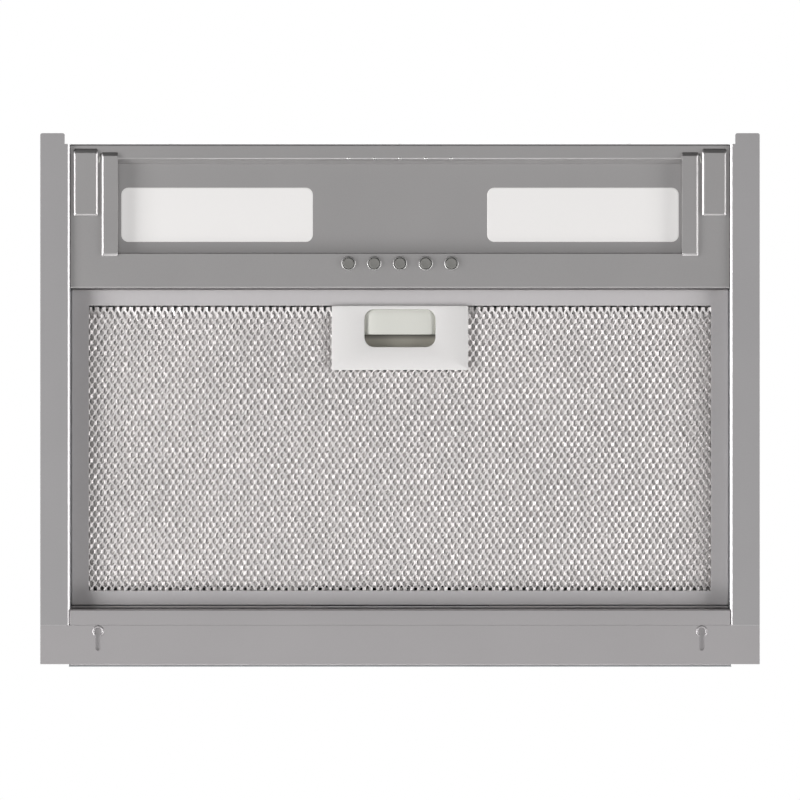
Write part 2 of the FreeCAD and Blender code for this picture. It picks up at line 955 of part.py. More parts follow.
def tongue_clearance():
    # The way that the latch tongue takes through the frame and the cup.
    half = tongue_half + latch_clearance
    low = tongue_low() - latch_clearance
    high = tongue_low() + tongue_thickness + latch_clearance
    return box(-half, panel_rear, low, half, slot_front, high)


def latch_well(low, high):
    # The space that the latch's cup takes out of the mesh.
    half = cup_half_width + latch_clearance
    return box(-half, window_front - frame_lip, low, half, cup_rear + latch_clearance, high)


def mesh_edges():
    inset = filter_skin + mesh_fit
    return (filter_half - inset, filter_front + inset, filter_rear - inset)


def pivot_clearance():
    # The room round each corner stud inside the frame.
    clear = pivot_radius + latch_clearance
    blocks = []
    for side in (-1, 1):
        near = side * (filter_half - filter_skin)
        far = side * (filter_half - pivot_inside - pivot_room)
        low, high = min(near, far), max(near, far)
        blocks.append(box(low, pivot_y - clear, filter_z, high, filter_rear, filter_top))
    return Part.makeCompound(blocks)


def diamond(x, y, half_x, half_y, z):
    points = [(x - half_x, y), (x, y - half_y), (x + half_x, y), (x, y + half_y)]
    return flat_outline(points, [0] * 4, z)


def make_expanded_mesh(low):
    # One holed sheet with staggered diamonds, coarser than the real mesh.
    half, front, rear = mesh_edges()
    rim = flat_outline([(-half, front), (half, front), (half, rear), (-half, rear)], [0] * 4, low)
    column_pitch = 2 * window_half / mesh_columns
    row_pitch = (window_rear - window_front) / mesh_rows
    well_half = cup_half_width + latch_clearance + mesh_well_margin
    well_rear = cup_rear + latch_clearance + mesh_well_margin
    half_x = column_pitch * mesh_gap_share / 2
    half_y = row_pitch * mesh_gap_share
    wires = [rim]
    for row in range(1, mesh_rows):
        y = window_front + row * row_pitch
        shift = 0.5 if row % 2 else 0.0
        for column in range(mesh_columns - (row % 2)):
            x = -window_half + (column + 0.5 + shift) * column_pitch
            if abs(x) < well_half + half_x and y < well_rear + half_y:
                continue
            wires.append(diamond(x, y, half_x, half_y, low))
    face = Part.makeFace(wires, "Part::FaceMakerBullseye")
    mesh = face.extrude(vec(0, 0, mesh_sheet))
    return mesh.cut(latch_well(low, low + mesh_sheet)).cut(pivot_clearance())


def make_mesh_core():
    # The stack of mesh layers between the two outer sheets.
    half, front, rear = mesh_edges()
    low = filter_z + filter_skin + mesh_fit + mesh_sheet
    high = filter_top - filter_skin - mesh_fit - mesh_sheet
    core = box(-half, front, low, half, rear, high)
    return core.cut(latch_well(low, high)).cut(pivot_clearance())


def make_filter_pivot_studs():
    # A stud at each rear corner of the filter, which turns in a hole in the casing wall.
    length = casing_half - (filter_half - pivot_inside) - pivot_end_gap
    start = filter_half - pivot_inside
    stud = rod(pivot_radius, vec(start, pivot_y, pivot_z), vec(1, 0, 0), length)
    head_radius = pivot_above_underside - filter_skin
    head = rod(head_radius, vec(start, pivot_y, pivot_z), vec(1, 0, 0), pivot_inside - filter_skin)
    stud = stud.fuse(head).removeSplitter()
    return Part.makeCompound([stud, mirrored(stud)])


def slot_plate(low, high, clearance):
    return rounded_plate(
        -latch_slot_half + clearance,
        slot_front + clearance,
        latch_slot_half - clearance,
        slot_rear - clearance,
        low,
        high,
        latch_slot_corner - clearance,
    )


def make_latch_plate():
    # The cover plate with the finger slot, and the cup behind it that guides the slide.
    low = filter_z - latch_thickness
    half = latch_half_width
    plate = rounded_plate(-half, latch_front, half, latch_rear, low, filter_z, latch_plate_corner)
    cup = box(-cup_half_width, cup_front, filter_z, cup_half_width, cup_rear, cup_top)
    cavity = box(
        -cup_half_width + cup_wall,
        slot_front,
        filter_z,
        cup_half_width - cup_wall,
        cup_rear - cup_wall,
        cup_top,
    )
    plate = plate.fuse(cup.cut(cavity)).cut(slot_plate(low, filter_z, 0))
    return plate.cut(tongue_clearance()).removeSplitter()


def make_latch_back():
    # The lid of the cup, inside its walls.
    clear = cup_lid_fit
    return box(
        -cup_half_width + cup_wall + clear,
        slot_front + clear,
        cup_top - cup_wall,
        cup_half_width - cup_wall - clear,
        cup_rear - cup_wall - clear,
        cup_top,
    )


def make_latch_slide():
    # The slide with its hollow finger grip, its pocket and the tongue that locks the filter.
    half = cup_half_width - cup_wall - latch_clearance
    front = slot_front + latch_clearance
    rear = cup_rear - cup_wall - latch_clearance - latch_travel
    high = slide_z + slide_thickness
    slide = box(-half, front, slide_z, half, rear, high)
    grip_low = filter_z - latch_thickness + grip_recess
    grip = slot_plate(grip_low, slide_z, latch_clearance)
    grip_end = front + grip_length
    grip = grip.common(grip.translated(vec(0, -latch_travel, 0)))
    grip = grip.common(box(-half, front, 0, half, grip_end, slide_z))
    hollow_y = front + grip_length / 2
    hollow_z = grip_low + grip_depth - grip_radius
    hollow = rod(grip_radius, vec(-half, hollow_y, hollow_z), vec(1, 0, 0), 2 * half)
    slide = slide.fuse(grip.cut(hollow))
    slide = slide.cut(box(-pocket_half, grip_end, slide_z, pocket_half, grip_end + pocket_width, high))
    pocket_low = rear - spring_pocket_length
    slide = slide.cut(
        box(
            latch_spring_x - spring_pocket_half,
            pocket_low,
            slide_z,
            latch_spring_x + spring_pocket_half,
            rear,
            high,
        )
    )
    tip = panel_rear + tongue_short
    low = tongue_low()
    tongue = box(-tongue_half, tip, low, tongue_half, front, low + tongue_thickness)
    return slide.fuse(tongue).removeSplitter()


def make_latch_spring():
    # A sleeve that holds the space of the latch's spring.
    rear = cup_rear - cup_wall
    front = rear - latch_clearance - latch_travel - spring_pocket_length
    z = slide_z + slide_thickness / 2
    outer = latch_spring_radius
    inner = outer - 2 * latch_spring_wire
    return tube(outer, inner, vec(latch_spring_x, front, z), vec(0, 1, 0), rear - front)


def make_motor_housing():
    # The box over the blower: four walls, a top and a foot flange.
    low = tray_height
    outer = box(-housing_half, housing_front, low, housing_half, housing_rear, housing_top)
    inner = box(
        -housing_half + sheet,
        housing_front + sheet,
        low,
        housing_half - sheet,
        housing_rear - sheet,
        housing_top - sheet,
    )
    foot_half = housing_half + housing_flange
    foot = box(-foot_half, housing_front, low, foot_half, housing_rear, low + sheet)
    shell = outer.fuse(foot).cut(inner)
    up = vec(0, 0, 1)
    for x, y in housing_screw_places():
        shell = shell.cut(rod(screw_radius + hole_fit, vec(x, y, low), up, sheet))
    bore = collar_radius - collar_wall
    shell = shell.cut(rod(bore, vec(0, collar_y, housing_top - sheet), up, sheet))
    for x, y in collar_screw_places():
        shell = shell.cut(rod(screw_radius + hole_fit, vec(x, y, housing_top - sheet), up, sheet))
    return shell.removeSplitter()


def scroll_outline(extra, top):
    # Three tangent arcs that open out round the wheel, then straight walls to the outlet.
    first = scroll_radius - scroll_step + extra
    second = scroll_radius + extra
    third = scroll_radius + scroll_step + extra

    def point(y, z):
        return vec(0, fan_y + y, fan_z + z)

    slant = math.sqrt(0.5)
    deep = math.sin(math.pi / 8)
    wide = math.cos(math.pi / 8)
    front_top = collar_y - fan_y - collar_radius + collar_wall - extra
    tongue = point(-scroll_step - first * slant, first * slant)
    side = point(-second, 0)
    bottom = point(0, -second)
    rear = point(third, scroll_step)
    corner_a = vec(0, rear.y, top)
    corner_b = vec(0, fan_y + front_top, top)
    edges = [
        Part.Arc(tongue, point(-scroll_step - first * wide, first * deep), side).toShape(),
        Part.Arc(side, point(-second * slant, -second * slant), bottom).toShape(),
        Part.Arc(bottom, point(third * slant, scroll_step - third * slant), rear).toShape(),
        Part.makeLine(rear, corner_a),
        Part.makeLine(corner_a, corner_b),
        Part.makeLine(corner_b, tongue),
    ]
    return Part.Face(Part.Wire(edges))


def make_scroll_half():
    # The right half of the scroll, open at the middle and at the top.
    top = housing_top - sheet
    outer_face = scroll_outline(scroll_wall, top)
    inner_face = scroll_outline(0, top + sheet)
    outer = outer_face.extrude(vec(scroll_half + scroll_wall, 0, 0))
    inner = inner_face.extrude(vec(scroll_half, 0, 0))
    inlet = rod(inlet_radius, vec(scroll_half, fan_y, fan_z), vec(1, 0, 0), scroll_wall)
    return outer.cut(inner).cut(inlet)


def disc_radius():
    return wheel_inner_radius + blade_edge_gap + disc_bite


def make_fan_wheel():
    # A middle disc with a hub, and the two end rings that the blades hold apart.
    along = vec(1, 0, 0)
    hub_length = motor_hub_gap * 2
    start = vec(-hub_thickness / 2, fan_y, fan_z)
    disc = rod(disc_radius(), start, along, hub_thickness)
    disc = disc.fuse(rod(shaft_radius + hub_wall, start, along, hub_length))
    disc = disc.cut(rod(shaft_radius, start, along, hub_length)).removeSplitter()
    pieces = [disc]
    for x in (-wheel_half_length, wheel_half_length - wheel_ring):
        pieces.append(tube(wheel_radius, wheel_inner_radius, vec(x, fan_y, fan_z), along, wheel_ring))
    return Part.makeCompound(pieces)


def make_fan_blades():
    # Forward-curved blades from ring to ring, notched for the rim of the disc.
    along = vec(1, 0, 0)
    centre = vec(0, fan_y, fan_z)
    rim = rod(disc_radius(), vec(-hub_thickness / 2, fan_y, fan_z), along, hub_thickness)
    blade = make_blade().cut(rim)
    blades = []
    for index in range(blade_count):
        turned = blade.copy()
        turned.rotate(centre, along, 360.0 * index / blade_count)
        blades.append(turned)
    return Part.makeCompound(blades)


def make_blade():
    # A thin curved strip between the inner and outer radius of the wheel.
    inner = wheel_inner_radius + blade_edge_gap
    outer = wheel_radius - blade_edge_gap
    middle = (inner + outer) / 2
    x0 = -wheel_half_length + wheel_ring
    thick = blade_thickness

    def point(radius, side):
        return vec(x0, fan_y + radius, fan_z + side)

    hollow_side = Part.Arc(point(inner, 0), point(middle, blade_bow), point(outer, blade_sweep))
    round_side = Part.Arc(
        point(outer, blade_sweep + thick),
        point(middle, blade_bow + thick),
        point(inner, thick),
    )
    edges = [
        hollow_side.toShape(),
        Part.makeLine(point(outer, blade_sweep), point(outer, blade_sweep + thick)),
        round_side.toShape(),
        Part.makeLine(point(inner, thick), point(inner, 0)),
    ]
    return Part.Face(Part.Wire(edges)).extrude(vec(2 * (wheel_half_length - wheel_ring), 0, 0))


def make_motor_shaft():
    start = motor_start + motor_wall + shaft_end_gap
    end = -hub_thickness / 2 + motor_hub_gap * 2
    return rod(shaft_radius, vec(start, fan_y, fan_z), vec(1, 0, 0), end - start)


def make_motor_body():
    # The closed can of the motor, with a seat for a bush at each end.
    along = vec(1, 0, 0)
    can = rod(motor_radius, vec(motor_start, fan_y, fan_z), along, motor_length)
    inner_length = motor_length - 2 * bush_length
    cavity = rod(winding_radius, vec(motor_start + bush_length, fan_y, fan_z), along, inner_length)
    seat_start = motor_start + motor_wall
    seat = rod(bush_radius, vec(seat_start, fan_y, fan_z), along, motor_end - seat_start)
    return can.cut(cavity).cut(seat).removeSplitter()


def make_motor_bushes():
    along = vec(1, 0, 0)
    bushes = []
    length = bush_length - motor_wall
    for start in (motor_start + motor_wall, motor_end - bush_length + motor_wall):
        bushes.append(tube(bush_radius, shaft_radius + shaft_fit, vec(start, fan_y, fan_z), along, length))
    return Part.makeCompound(bushes)


def make_motor_rotor():
    length = motor_length - 2 * bush_length - 2 * rotor_end_gap
    start = motor_start + (motor_length - length) / 2
    return tube(rotor_radius, shaft_radius, vec(start, fan_y, fan_z), vec(1, 0, 0), length)


def make_motor_windings():
    length = motor_length - 2 * bush_length
    start = vec(motor_start + bush_length, fan_y, fan_z)
    return tube(winding_radius, winding_bore, start, vec(1, 0, 0), length)


def spider_start():
    return -scroll_half - scroll_wall - spider_thickness


def make_motor_spider():
    # A ring on the left inlet with arms that carry the motor.
    along = vec(1, 0, 0)
    start = spider_start()
    outer = inlet_radius + spider_ring_width
    ring = tube(outer, inlet_radius, vec(start, fan_y, fan_z), along, spider_thickness)
    plate = rod(spider_plate_radius, vec(start, fan_y, fan_z), along, motor_start - start)
    spider = ring.fuse(plate)
    half = spider_arm_width / 2
    end = start + spider_thickness
    reach = fan_y + inlet_radius + spider_arm_overlap
    for angle in spider_angles():
        arm = box(start, fan_y, fan_z - half, end, reach, fan_z + half)
        arm.rotate(vec(0, fan_y, fan_z), along, angle)
        spider = spider.fuse(arm)
    for y, z in spider_screw_places():
        spider = spider.cut(rod(screw_radius, vec(start, y, z), along, spider_thickness))
    return spider.removeSplitter()


def spider_angles():
    return [spider_first_angle + 360.0 * index / spider_arms for index in range(spider_arms)]


def spider_screw_places():
    radius = inlet_radius + spider_ring_width / 2
    places = []
    for degrees in spider_angles():
        angle = math.radians(degrees)
        places.append((fan_y + radius * math.cos(angle), fan_z + radius * math.sin(angle)))
    return places


def make_spider_screws():
    # Short screws that hold the spider to the scroll's side wall.
    screws = []
    axis = vec(-1, 0, 0)
    for y, z in spider_screw_places():
        place = vec(spider_start(), y, z)
        head = rod(screw_head_radius, place, axis, screw_head_height)
        shank = rod(screw_radius, place - axis * spider_thickness, axis, spider_thickness)
        screws.append(head.fuse(shank))
    return Part.makeCompound(screws)


def make_motor_capacitor():
    # A round capacitor that lies against the left wall of the housing.
    x = -housing_half + sheet + capacitor_radius
    start = fan_y - capacitor_length / 2
    body = rod(capacitor_radius, vec(x, start, capacitor_z), vec(0, 1, 0), capacitor_length)
    return body.makeFillet(capacitor_edge, [edge for edge in body.Edges if len(edge.Vertexes) == 1])


def make_capacitor_clip():
    # A strap round the capacitor, with feet on the housing wall.
    wall = -housing_half + sheet
    x = wall + capacitor_radius
    low = fan_y - strap_width / 2
    high = fan_y + strap_width / 2
    along = vec(0, 1, 0)
    inner = capacitor_radius + strap_clearance
    start = vec(x, low, capacitor_z)
    strap = tube(inner + strap_thickness, inner, start, along, strap_width)
    reach = capacitor_radius + strap_foot
    feet = box(wall, low, capacitor_z - reach, wall + strap_thickness, high, capacitor_z + reach)
    strap = strap.fuse(feet.cut(rod(inner, start, along, strap_width)))
    keep = box(wall, low, capacitor_z - reach, x + reach, high, capacitor_z + reach)
    return strap.common(keep).removeSplitter()


def collar_screw_places():
    radius = collar_radius + collar_flange / 2
    places = []
    for index in range(collar_screw_count):
        angle = math.radians(360.0 * (index + 0.5) / collar_screw_count)
        places.append((radius * math.cos(angle), collar_y + radius * math.sin(angle)))
    return places


def make_outlet_collar():
    # A short duct collar with a ledge on which the flaps rest, standing on a foot ring.
    up = vec(0, 0, 1)
    inner = collar_radius - collar_wall
    foot_top = housing_top + collar_flange_height
    base = vec(0, collar_y, foot_top)
    collar = tube(collar_radius, inner, base, up, collar_height - collar_flange_height)
    ledge_top = flap_z - flap_thickness / 2 - ledge_gap
    ledge_low = ledge_top - ledge_thickness
    ledge = tube(inner, inner - ledge_width, vec(0, collar_y, ledge_low), up, ledge_thickness)
    collar = collar.fuse(ledge)
    bore = rod(inner, base, up, collar_height)
    clear = flap_knuckle_radius + ledge_gap
    for side in (-1, 1):
        y = collar_y + side * flap_pin_offset
        pin_way = box(-inner, y - clear, ledge_low, inner, y + clear, ledge_top)
        collar = collar.cut(pin_way.common(bore))
        start = vec(-collar_radius, y, flap_z)
        collar = collar.cut(rod(flap_pin_radius, start, vec(1, 0, 0), 2 * collar_radius))
    foot = vec(0, collar_y, housing_top)
    ring = tube(collar_radius + collar_flange, inner, foot, up, collar_flange_height)
    for x, y in collar_screw_places():
        ring = ring.cut(rod(screw_radius + hole_fit, vec(x, y, housing_top), up, collar_flange_height))
    return Part.makeCompound([collar.removeSplitter(), ring])


def make_flap_pins():
    pins = []
    half = collar_radius - collar_wall / 2
    for side in (-1, 1):
        start = vec(-half, collar_y + side * flap_pin_offset, flap_z)
        pins.append(rod(flap_pin_radius, start, vec(1, 0, 0), 2 * half))
    return Part.makeCompound(pins)


def make_flap(side):
    # Half a disc on a knuckle that turns on its pin.
    up = vec(0, 0, 1)
    radius = collar_radius - collar_wall - flap_clearance
    low = flap_z - flap_thickness / 2
    pin_y = collar_y + side * flap_pin_offset
    disc = rod(radius, vec(0, collar_y, low), up, flap_thickness)
    far = collar_y + side * collar_radius
    keep = box(-radius, min(pin_y, far), low, radius, max(pin_y, far), low + flap_thickness)
    knuckle_half = radius - knuckle_end_gap
    along = vec(1, 0, 0)
    knuckle = rod(flap_knuckle_radius, vec(-knuckle_half, pin_y, flap_z), along, 2 * knuckle_half)
    bore = rod(flap_pin_radius + flap_pin_fit, vec(-radius, pin_y, flap_z), along, 2 * radius)
    return disc.common(keep).fuse(knuckle).cut(bore).removeSplitter()


def make_control_box():
    # A plastic box under the tray lid, open below.
    half_length = control_box_length / 2
    half_side = control_box_depth / 2
    wall = control_box_wall
    x = control_x
    outer = box(
        x - half_length,
        control_y - half_side,
        box_bottom_z,
        x + half_length,
        control_y + half_side,
        tray_top_z,
    )
    inner = box(
        x - half_length + wall,
        control_y - half_side + wall,
        box_bottom_z,
        x + half_length - wall,
        control_y + half_side - wall,
        tray_top_z - wall,
    )
    shell = outer.cut(inner)
    board = control_board_z() + led_board_thickness
    for px, py in standoff_places():
        post = rod(standoff_radius, vec(px, py, board), vec(0, 0, 1), tray_top_z - wall - board)
        shell = shell.fuse(post)
    return shell.removeSplitter()


def control_board_z():
    return tray_top_z - control_board_drop


def standoff_places():
    dx = control_box_length / 2 - standoff_inset
    dy = control_box_depth / 2 - standoff_inset
    return [(control_x + sx * dx, control_y + sy * dy) for sx in (-1, 1) for sy in (-1, 1)]


def control_plate(inset, low, high):
    # A plate that fills the control box's outline, less an inset on each side.
    half_length = control_box_length / 2 - inset
    half_side = control_box_depth / 2 - inset
    x = control_x
    return box(x - half_length, control_y - half_side, low, x + half_length, control_y + half_side, high)


def make_control_cover():
    return control_plate(0, box_bottom_z - control_box_wall, box_bottom_z)


def make_control_board():
    # The board with a transformer, a relay and a terminal block below it.
    low = control_board_z()
    board = control_plate(control_box_wall + board_gap, low, low + led_board_thickness)
    pieces = [board]
    for size, place in (
        (transformer_size, transformer_place),
        (relay_size, relay_place),
        (terminals_size, terminals_place),
    ):
        x = control_x + place[0]
        y = control_y + place[1]
        pieces.append(box(x, y, low - size[2], x + size[0], y + size[1], low))
    return Part.makeCompound(pieces)


def make_led_driver():
    half_length = driver_length / 2
    half_side = driver_depth / 2
    x = -control_x
    low = tray_top_z - driver_height
    return rounded_plate(
        x - half_length,
        control_y - half_side,
        x + half_length,
        control_y + half_side,
        low,
        tray_top_z,
        driver_corner,
    )


def make_cable_gland():
    # A cord grip in the tray lid, where the supply lead would enter.
    up = vec(0, 0, 1)
    x, y = gland_place()
    low = tray_top_z - gland_nut_height
    body = rod(gland_radius, vec(x, y, tray_height), up, gland_height)
    body = body.makeFillet(gland_edge, [body.Edges[0]])
    neck = rod(gland_neck_radius, vec(x, y, tray_top_z), up, sheet)
    nut = rod(gland_radius, vec(x, y, low), up, gland_nut_height)
    bore = rod(gland_bore, vec(x, y, low), up, gland_nut_height + sheet + gland_height)
    return body.fuse(neck).fuse(nut).cut(bore).removeSplitter()


def lead_tube(points):
    # A round lead along straight runs joined by tangent arcs.
    edges = []
    start = vec(*points[0])
    for index in range(1, len(points) - 1):
        corner = vec(*points[index])
        back = (vec(*points[index - 1]) - corner).normalize()
        ahead = (vec(*points[index + 1]) - corner).normalize()
        half_angle = back.getAngle(ahead) / 2
        reach = lead_bend / math.tan(half_angle)
        inward = (back + ahead).normalize()
        middle = corner + inward * (lead_bend / math.sin(half_angle) - lead_bend)
        edges.append(Part.makeLine(start, corner + back * reach))
        edges.append(Part.Arc(corner + back * reach, middle, corner + ahead * reach).toShape())
        start = corner + ahead * reach
    edges.append(Part.makeLine(start, vec(*points[-1])))
    path = Part.Wire(edges)
    tangent = (vec(*points[1]) - vec(*points[0])).normalize()
    section = Part.Wire([Part.makeCircle(lead_radius, vec(*points[0]), tangent)])
    return path.makePipeShell([section], True, False)


def make_internal_leads():
    # Leads from the switch board to the control box, from the driver to the left lamp,
    # and from lamp to lamp.
    board_top = switch_beam_z + switch_beam_height + led_board_thickness
    box_side = control_x - control_box_length / 2
    switch_x = box_side - switch_lead_run
    switch_z = (box_bottom_z + tray_top_z) / 2
    switch_lead = lead_tube(
        [
            (switch_x, button_y, board_top),
            (switch_x, button_y, switch_z),
            (switch_x, control_y, switch_z),
            (box_side, control_y, switch_z),
        ]
    )
    lamp_top = lamp_housing_top()
    rise = tray_top_z - driver_height - lamp_top
    left_lead = rod(lead_radius, vec(-control_x, lens_y, lamp_top), vec(0, 0, 1), rise)
    lamp_end = lens_x - lens_length / 2 - lamp_housing_margin
    link_start = vec(-lamp_end, lens_y, lamp_top - link_lead_drop)
    link_lead = rod(lead_radius, link_start, vec(1, 0, 0), 2 * lamp_end)
    return Part.makeCompound([switch_lead, left_lead, link_lead])


def make_rivets():
    # Rivets through the rails and casing walls, and through the panel's front and the casing.
    rivets = []
    for side in (-1, 1):
        for y, z in rail_rivet_places():
            place = vec(side * (casing_half + sheet), y, z)
            rivets.append(rivet(place, vec(side, 0, 0), 2 * sheet))
    for x in panel_rivet_places():
        place = vec(x, panel_front, panel_rivet_z())
        rivets.append(rivet(place, vec(0, -1, 0), 2 * sheet))
    return Part.makeCompound(rivets)


def make_housing_screws():
    up = vec(0, 0, 1)
    return Part.makeCompound([screw(vec(x, y, tray_height + sheet), up) for x, y in housing_screw_places()])


def make_collar_screws():
    up = vec(0, 0, 1)
    z = housing_top + collar_flange_height
    return Part.makeCompound([screw(vec(x, y, z), up) for x, y in collar_screw_places()])


os.makedirs("parts", exist_ok=True)

side_rail = make_side_rail()
save("side_rail_right", side_rail)
save("side_rail_left", mirrored(side_rail))
save("rear_cross_member", make_rear_cross_member())
save("rear_strip", make_rear_strip())
save("lower_casing", make_lower_casing())
save("tray_top", make_tray_top())
save("light_panel", make_light_panel())
corner_box = make_corner_box()
save("corner_box_right", corner_box)
save("corner_box_left", mirrored(corner_box))
end_strip = make_end_strip()
save("end_strip_right", end_strip)
save("end_strip_left", mirrored(end_strip))
save("panel_clips", make_panel_clips())
save("lamp_lenses", Part.makeCompound([make_lens(-1), make_lens(1)]))
save("lamp_housings", Part.makeCompound([make_lamp_housing(-1), make_lamp_housing(1)]))
save("led_boards", Part.makeCompound([make_led_board(-1), make_led_board(1)]))
save("led_chips", Part.makeCompound([make_led_chips(-1), make_led_chips(1)]))
save("button_bezels", make_button_bezels())
save("indicator_lenses", make_indicator_lenses())
save("switch_block", make_switch_block())
save("switch_board", make_switch_board())
for button_index, button_x in enumerate(button_places()):
    save("button_" + str(button_index + 1), make_button(button_x))
save("button_springs", Part.makeCompound([make_button_spring(x) for x in button_places()]))
save("filter_frame", make_filter_frame())
mesh_low = filter_z + filter_skin + mesh_fit
save("filter_mesh_front", make_expanded_mesh(mesh_low))
save("filter_mesh_core", make_mesh_core())
save("filter_mesh_back", make_expanded_mesh(filter_top - filter_skin - mesh_fit - mesh_sheet))
save("filter_pivot_studs", make_filter_pivot_studs())
save("latch_plate", make_latch_plate())
save("latch_back", make_latch_back())
save("latch_slide", make_latch_slide())
save("latch_spring", make_latch_spring())
save("motor_housing", make_motor_housing())
scroll_half_shell = make_scroll_half()
save("fan_scroll_right", scroll_half_shell)
save("fan_scroll_left", mirrored(scroll_half_shell))
save("fan_wheel", make_fan_wheel())
save("fan_blades", make_fan_blades())
save("motor_shaft", make_motor_shaft())
save("motor_rotor", make_motor_rotor())
save("motor_body", make_motor_body())
save("motor_bushes", make_motor_bushes())
save("motor_windings", make_motor_windings())
save("motor_spider", make_motor_spider())
save("motor_capacitor", make_motor_capacitor())
save("capacitor_clip", make_capacitor_clip())
save("outlet_collar", make_outlet_collar())
save("flap_pins", make_flap_pins())
save("flap_front", make_flap(-1))
save("flap_rear", make_flap(1))
save("control_box", make_control_box())
save("control_cover", make_control_cover())
save("control_board", make_control_board())
save("led_driver", make_led_driver())
save("cable_gland", make_cable_gland())
save("internal_leads", make_internal_leads())
save("rivets", make_rivets())
save("screws", Part.makeCompound([make_housing_screws(), make_collar_screws(), make_spider_screws()]))
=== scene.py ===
import bpy
import bmesh
import math
import numpy as np
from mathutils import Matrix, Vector


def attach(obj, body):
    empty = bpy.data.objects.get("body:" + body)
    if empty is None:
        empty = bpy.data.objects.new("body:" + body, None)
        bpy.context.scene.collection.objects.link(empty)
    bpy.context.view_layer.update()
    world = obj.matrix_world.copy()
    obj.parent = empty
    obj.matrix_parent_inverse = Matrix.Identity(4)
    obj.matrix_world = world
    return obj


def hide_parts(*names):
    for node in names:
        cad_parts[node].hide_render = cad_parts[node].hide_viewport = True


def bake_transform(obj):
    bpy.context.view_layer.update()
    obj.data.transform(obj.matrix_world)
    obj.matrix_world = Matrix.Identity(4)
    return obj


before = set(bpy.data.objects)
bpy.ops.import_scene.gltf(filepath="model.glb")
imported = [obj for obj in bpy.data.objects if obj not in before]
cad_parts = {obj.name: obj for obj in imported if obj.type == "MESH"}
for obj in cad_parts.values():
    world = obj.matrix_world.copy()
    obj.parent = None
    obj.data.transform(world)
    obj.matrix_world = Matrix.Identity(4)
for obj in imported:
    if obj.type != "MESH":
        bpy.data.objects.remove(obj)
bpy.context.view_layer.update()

# Range hood insert seen from below. Shapes are worked out in millimetres and stored in metres.
# X runs across the width, Y from the buttons to the rear edge, Z up; the flange lies at z = 0.

millimetre = 0.001
sheetThickness = 1.0
scene = bpy.context.scene


def srgb(red, green, blue):
    # Display values 0..255 to linear light: ((c + 0.055) / 1.055) ^ 2.4, or c / 12.92 near black.
    c = np.array([red, green, blue]) / 255.0
    lin = np.where(c <= 0.04045, c / 12.92, ((c + 0.055) / 1.055) ** 2.4)
    return (float(lin[0]), float(lin[1]), float(lin[2]), 1.0)


finishColumns = ("colour", "metal", "rough", "shade", "grain", "bump")
finishes = {
    "satinSteel": ((161, 159, 160), 0.55, 0.31, 0.035, 900, 0.02),
    "panelSteel": ((155, 153, 153), 0.55, 0.31, 0.035, 900, 0.02),
    "stripSteel": ((167, 164, 165), 0.55, 0.31, 0.035, 900, 0.02),
    "galvanised": ((168, 170, 172), 0.55, 0.42, 0.12, 60, 0.03),
    "filterAluminium": ((187, 184, 185), 0.0, 0.42, 0.03, 500, 0.02),
    "meshAluminium": ((229, 225, 224), 0.15, 0.4, 0.06, 260, 0.02),
    "zincPlate": ((176, 176, 172), 0.8, 0.35, 0.08, 300, 0.02),
    "springSteel": ((190, 190, 194), 1.0, 0.25, 0.05, 700, 0.02),
    "darkSteel": ((62, 62, 66), 0.5, 0.45, 0.15, 300, 0.05),
    "sinteredBronze": ((160, 122, 72), 0.9, 0.5, 0.12, 1500, 0.08),
    "enamelledCopper": ((178, 98, 58), 0.8, 0.32, 0.15, 500, 0.2),
    "opalLens": ((170, 168, 167), 0.0, 0.35, 0.01, 200, 0.0),
    "lightPlastic": ((220, 218, 217), 0.0, 0.42, 0.02, 1200, 0.03),
    # Painted shade: the pocket's plastic is written darker than the latch plate's light plastic, to stand for the shade
    # inside the finger pocket.
    "pocketPlasticPaintedShade": ((182, 178, 168), 0.0, 0.5, 0.02, 1200, 0.03),
    "gripPlastic": ((212, 212, 205), 0.0, 0.4, 0.02, 1200, 0.03),
    "whitePlastic": ((222, 222, 218), 0.0, 0.5, 0.02, 1000, 0.05),
    "silverPlastic": ((176, 175, 174), 0.7, 0.28, 0.03, 1000, 0.02),
    "buttonPlastic": ((119, 118, 115), 0.0, 0.42, 0.04, 1500, 0.06),
    "blackPlastic": ((46, 46, 48), 0.0, 0.5, 0.12, 1600, 0.12),
    "greyPlastic": ((92, 93, 96), 0.0, 0.5, 0.1, 1600, 0.1),
    "circuitBoard": ((34, 96, 56), 0.0, 0.35, 0.25, 250, 0.05),
    "ledPhosphor": ((238, 214, 116), 0.0, 0.4, 0.05, 900, 0.02),
    "leadSheath": ((206, 206, 202), 0.0, 0.5, 0.05, 700, 0.05),
}
finishes = {name: dict(zip(finishColumns, row)) for name, row in finishes.items()}
# Painted light: the lens glows though no lamp behind it is lit, so it stays evenly bright where the end strips shade
# it.
finishes["opalLens"]["glow"] = 0.42
finishes["pocketPlasticPaintedShade"]["band"] = {"middle": -0.0484, "width": 0.0036, "least": 0.3}  # painted shade: a darker band beside the grip's rear edge
noise = {"softScale": 14.0, "softDetail": 4.0, "fineDetail": 3.0, "fineShare": 0.45, "roughSpread": 0.04,
         "bumpDistance": 0.0003}


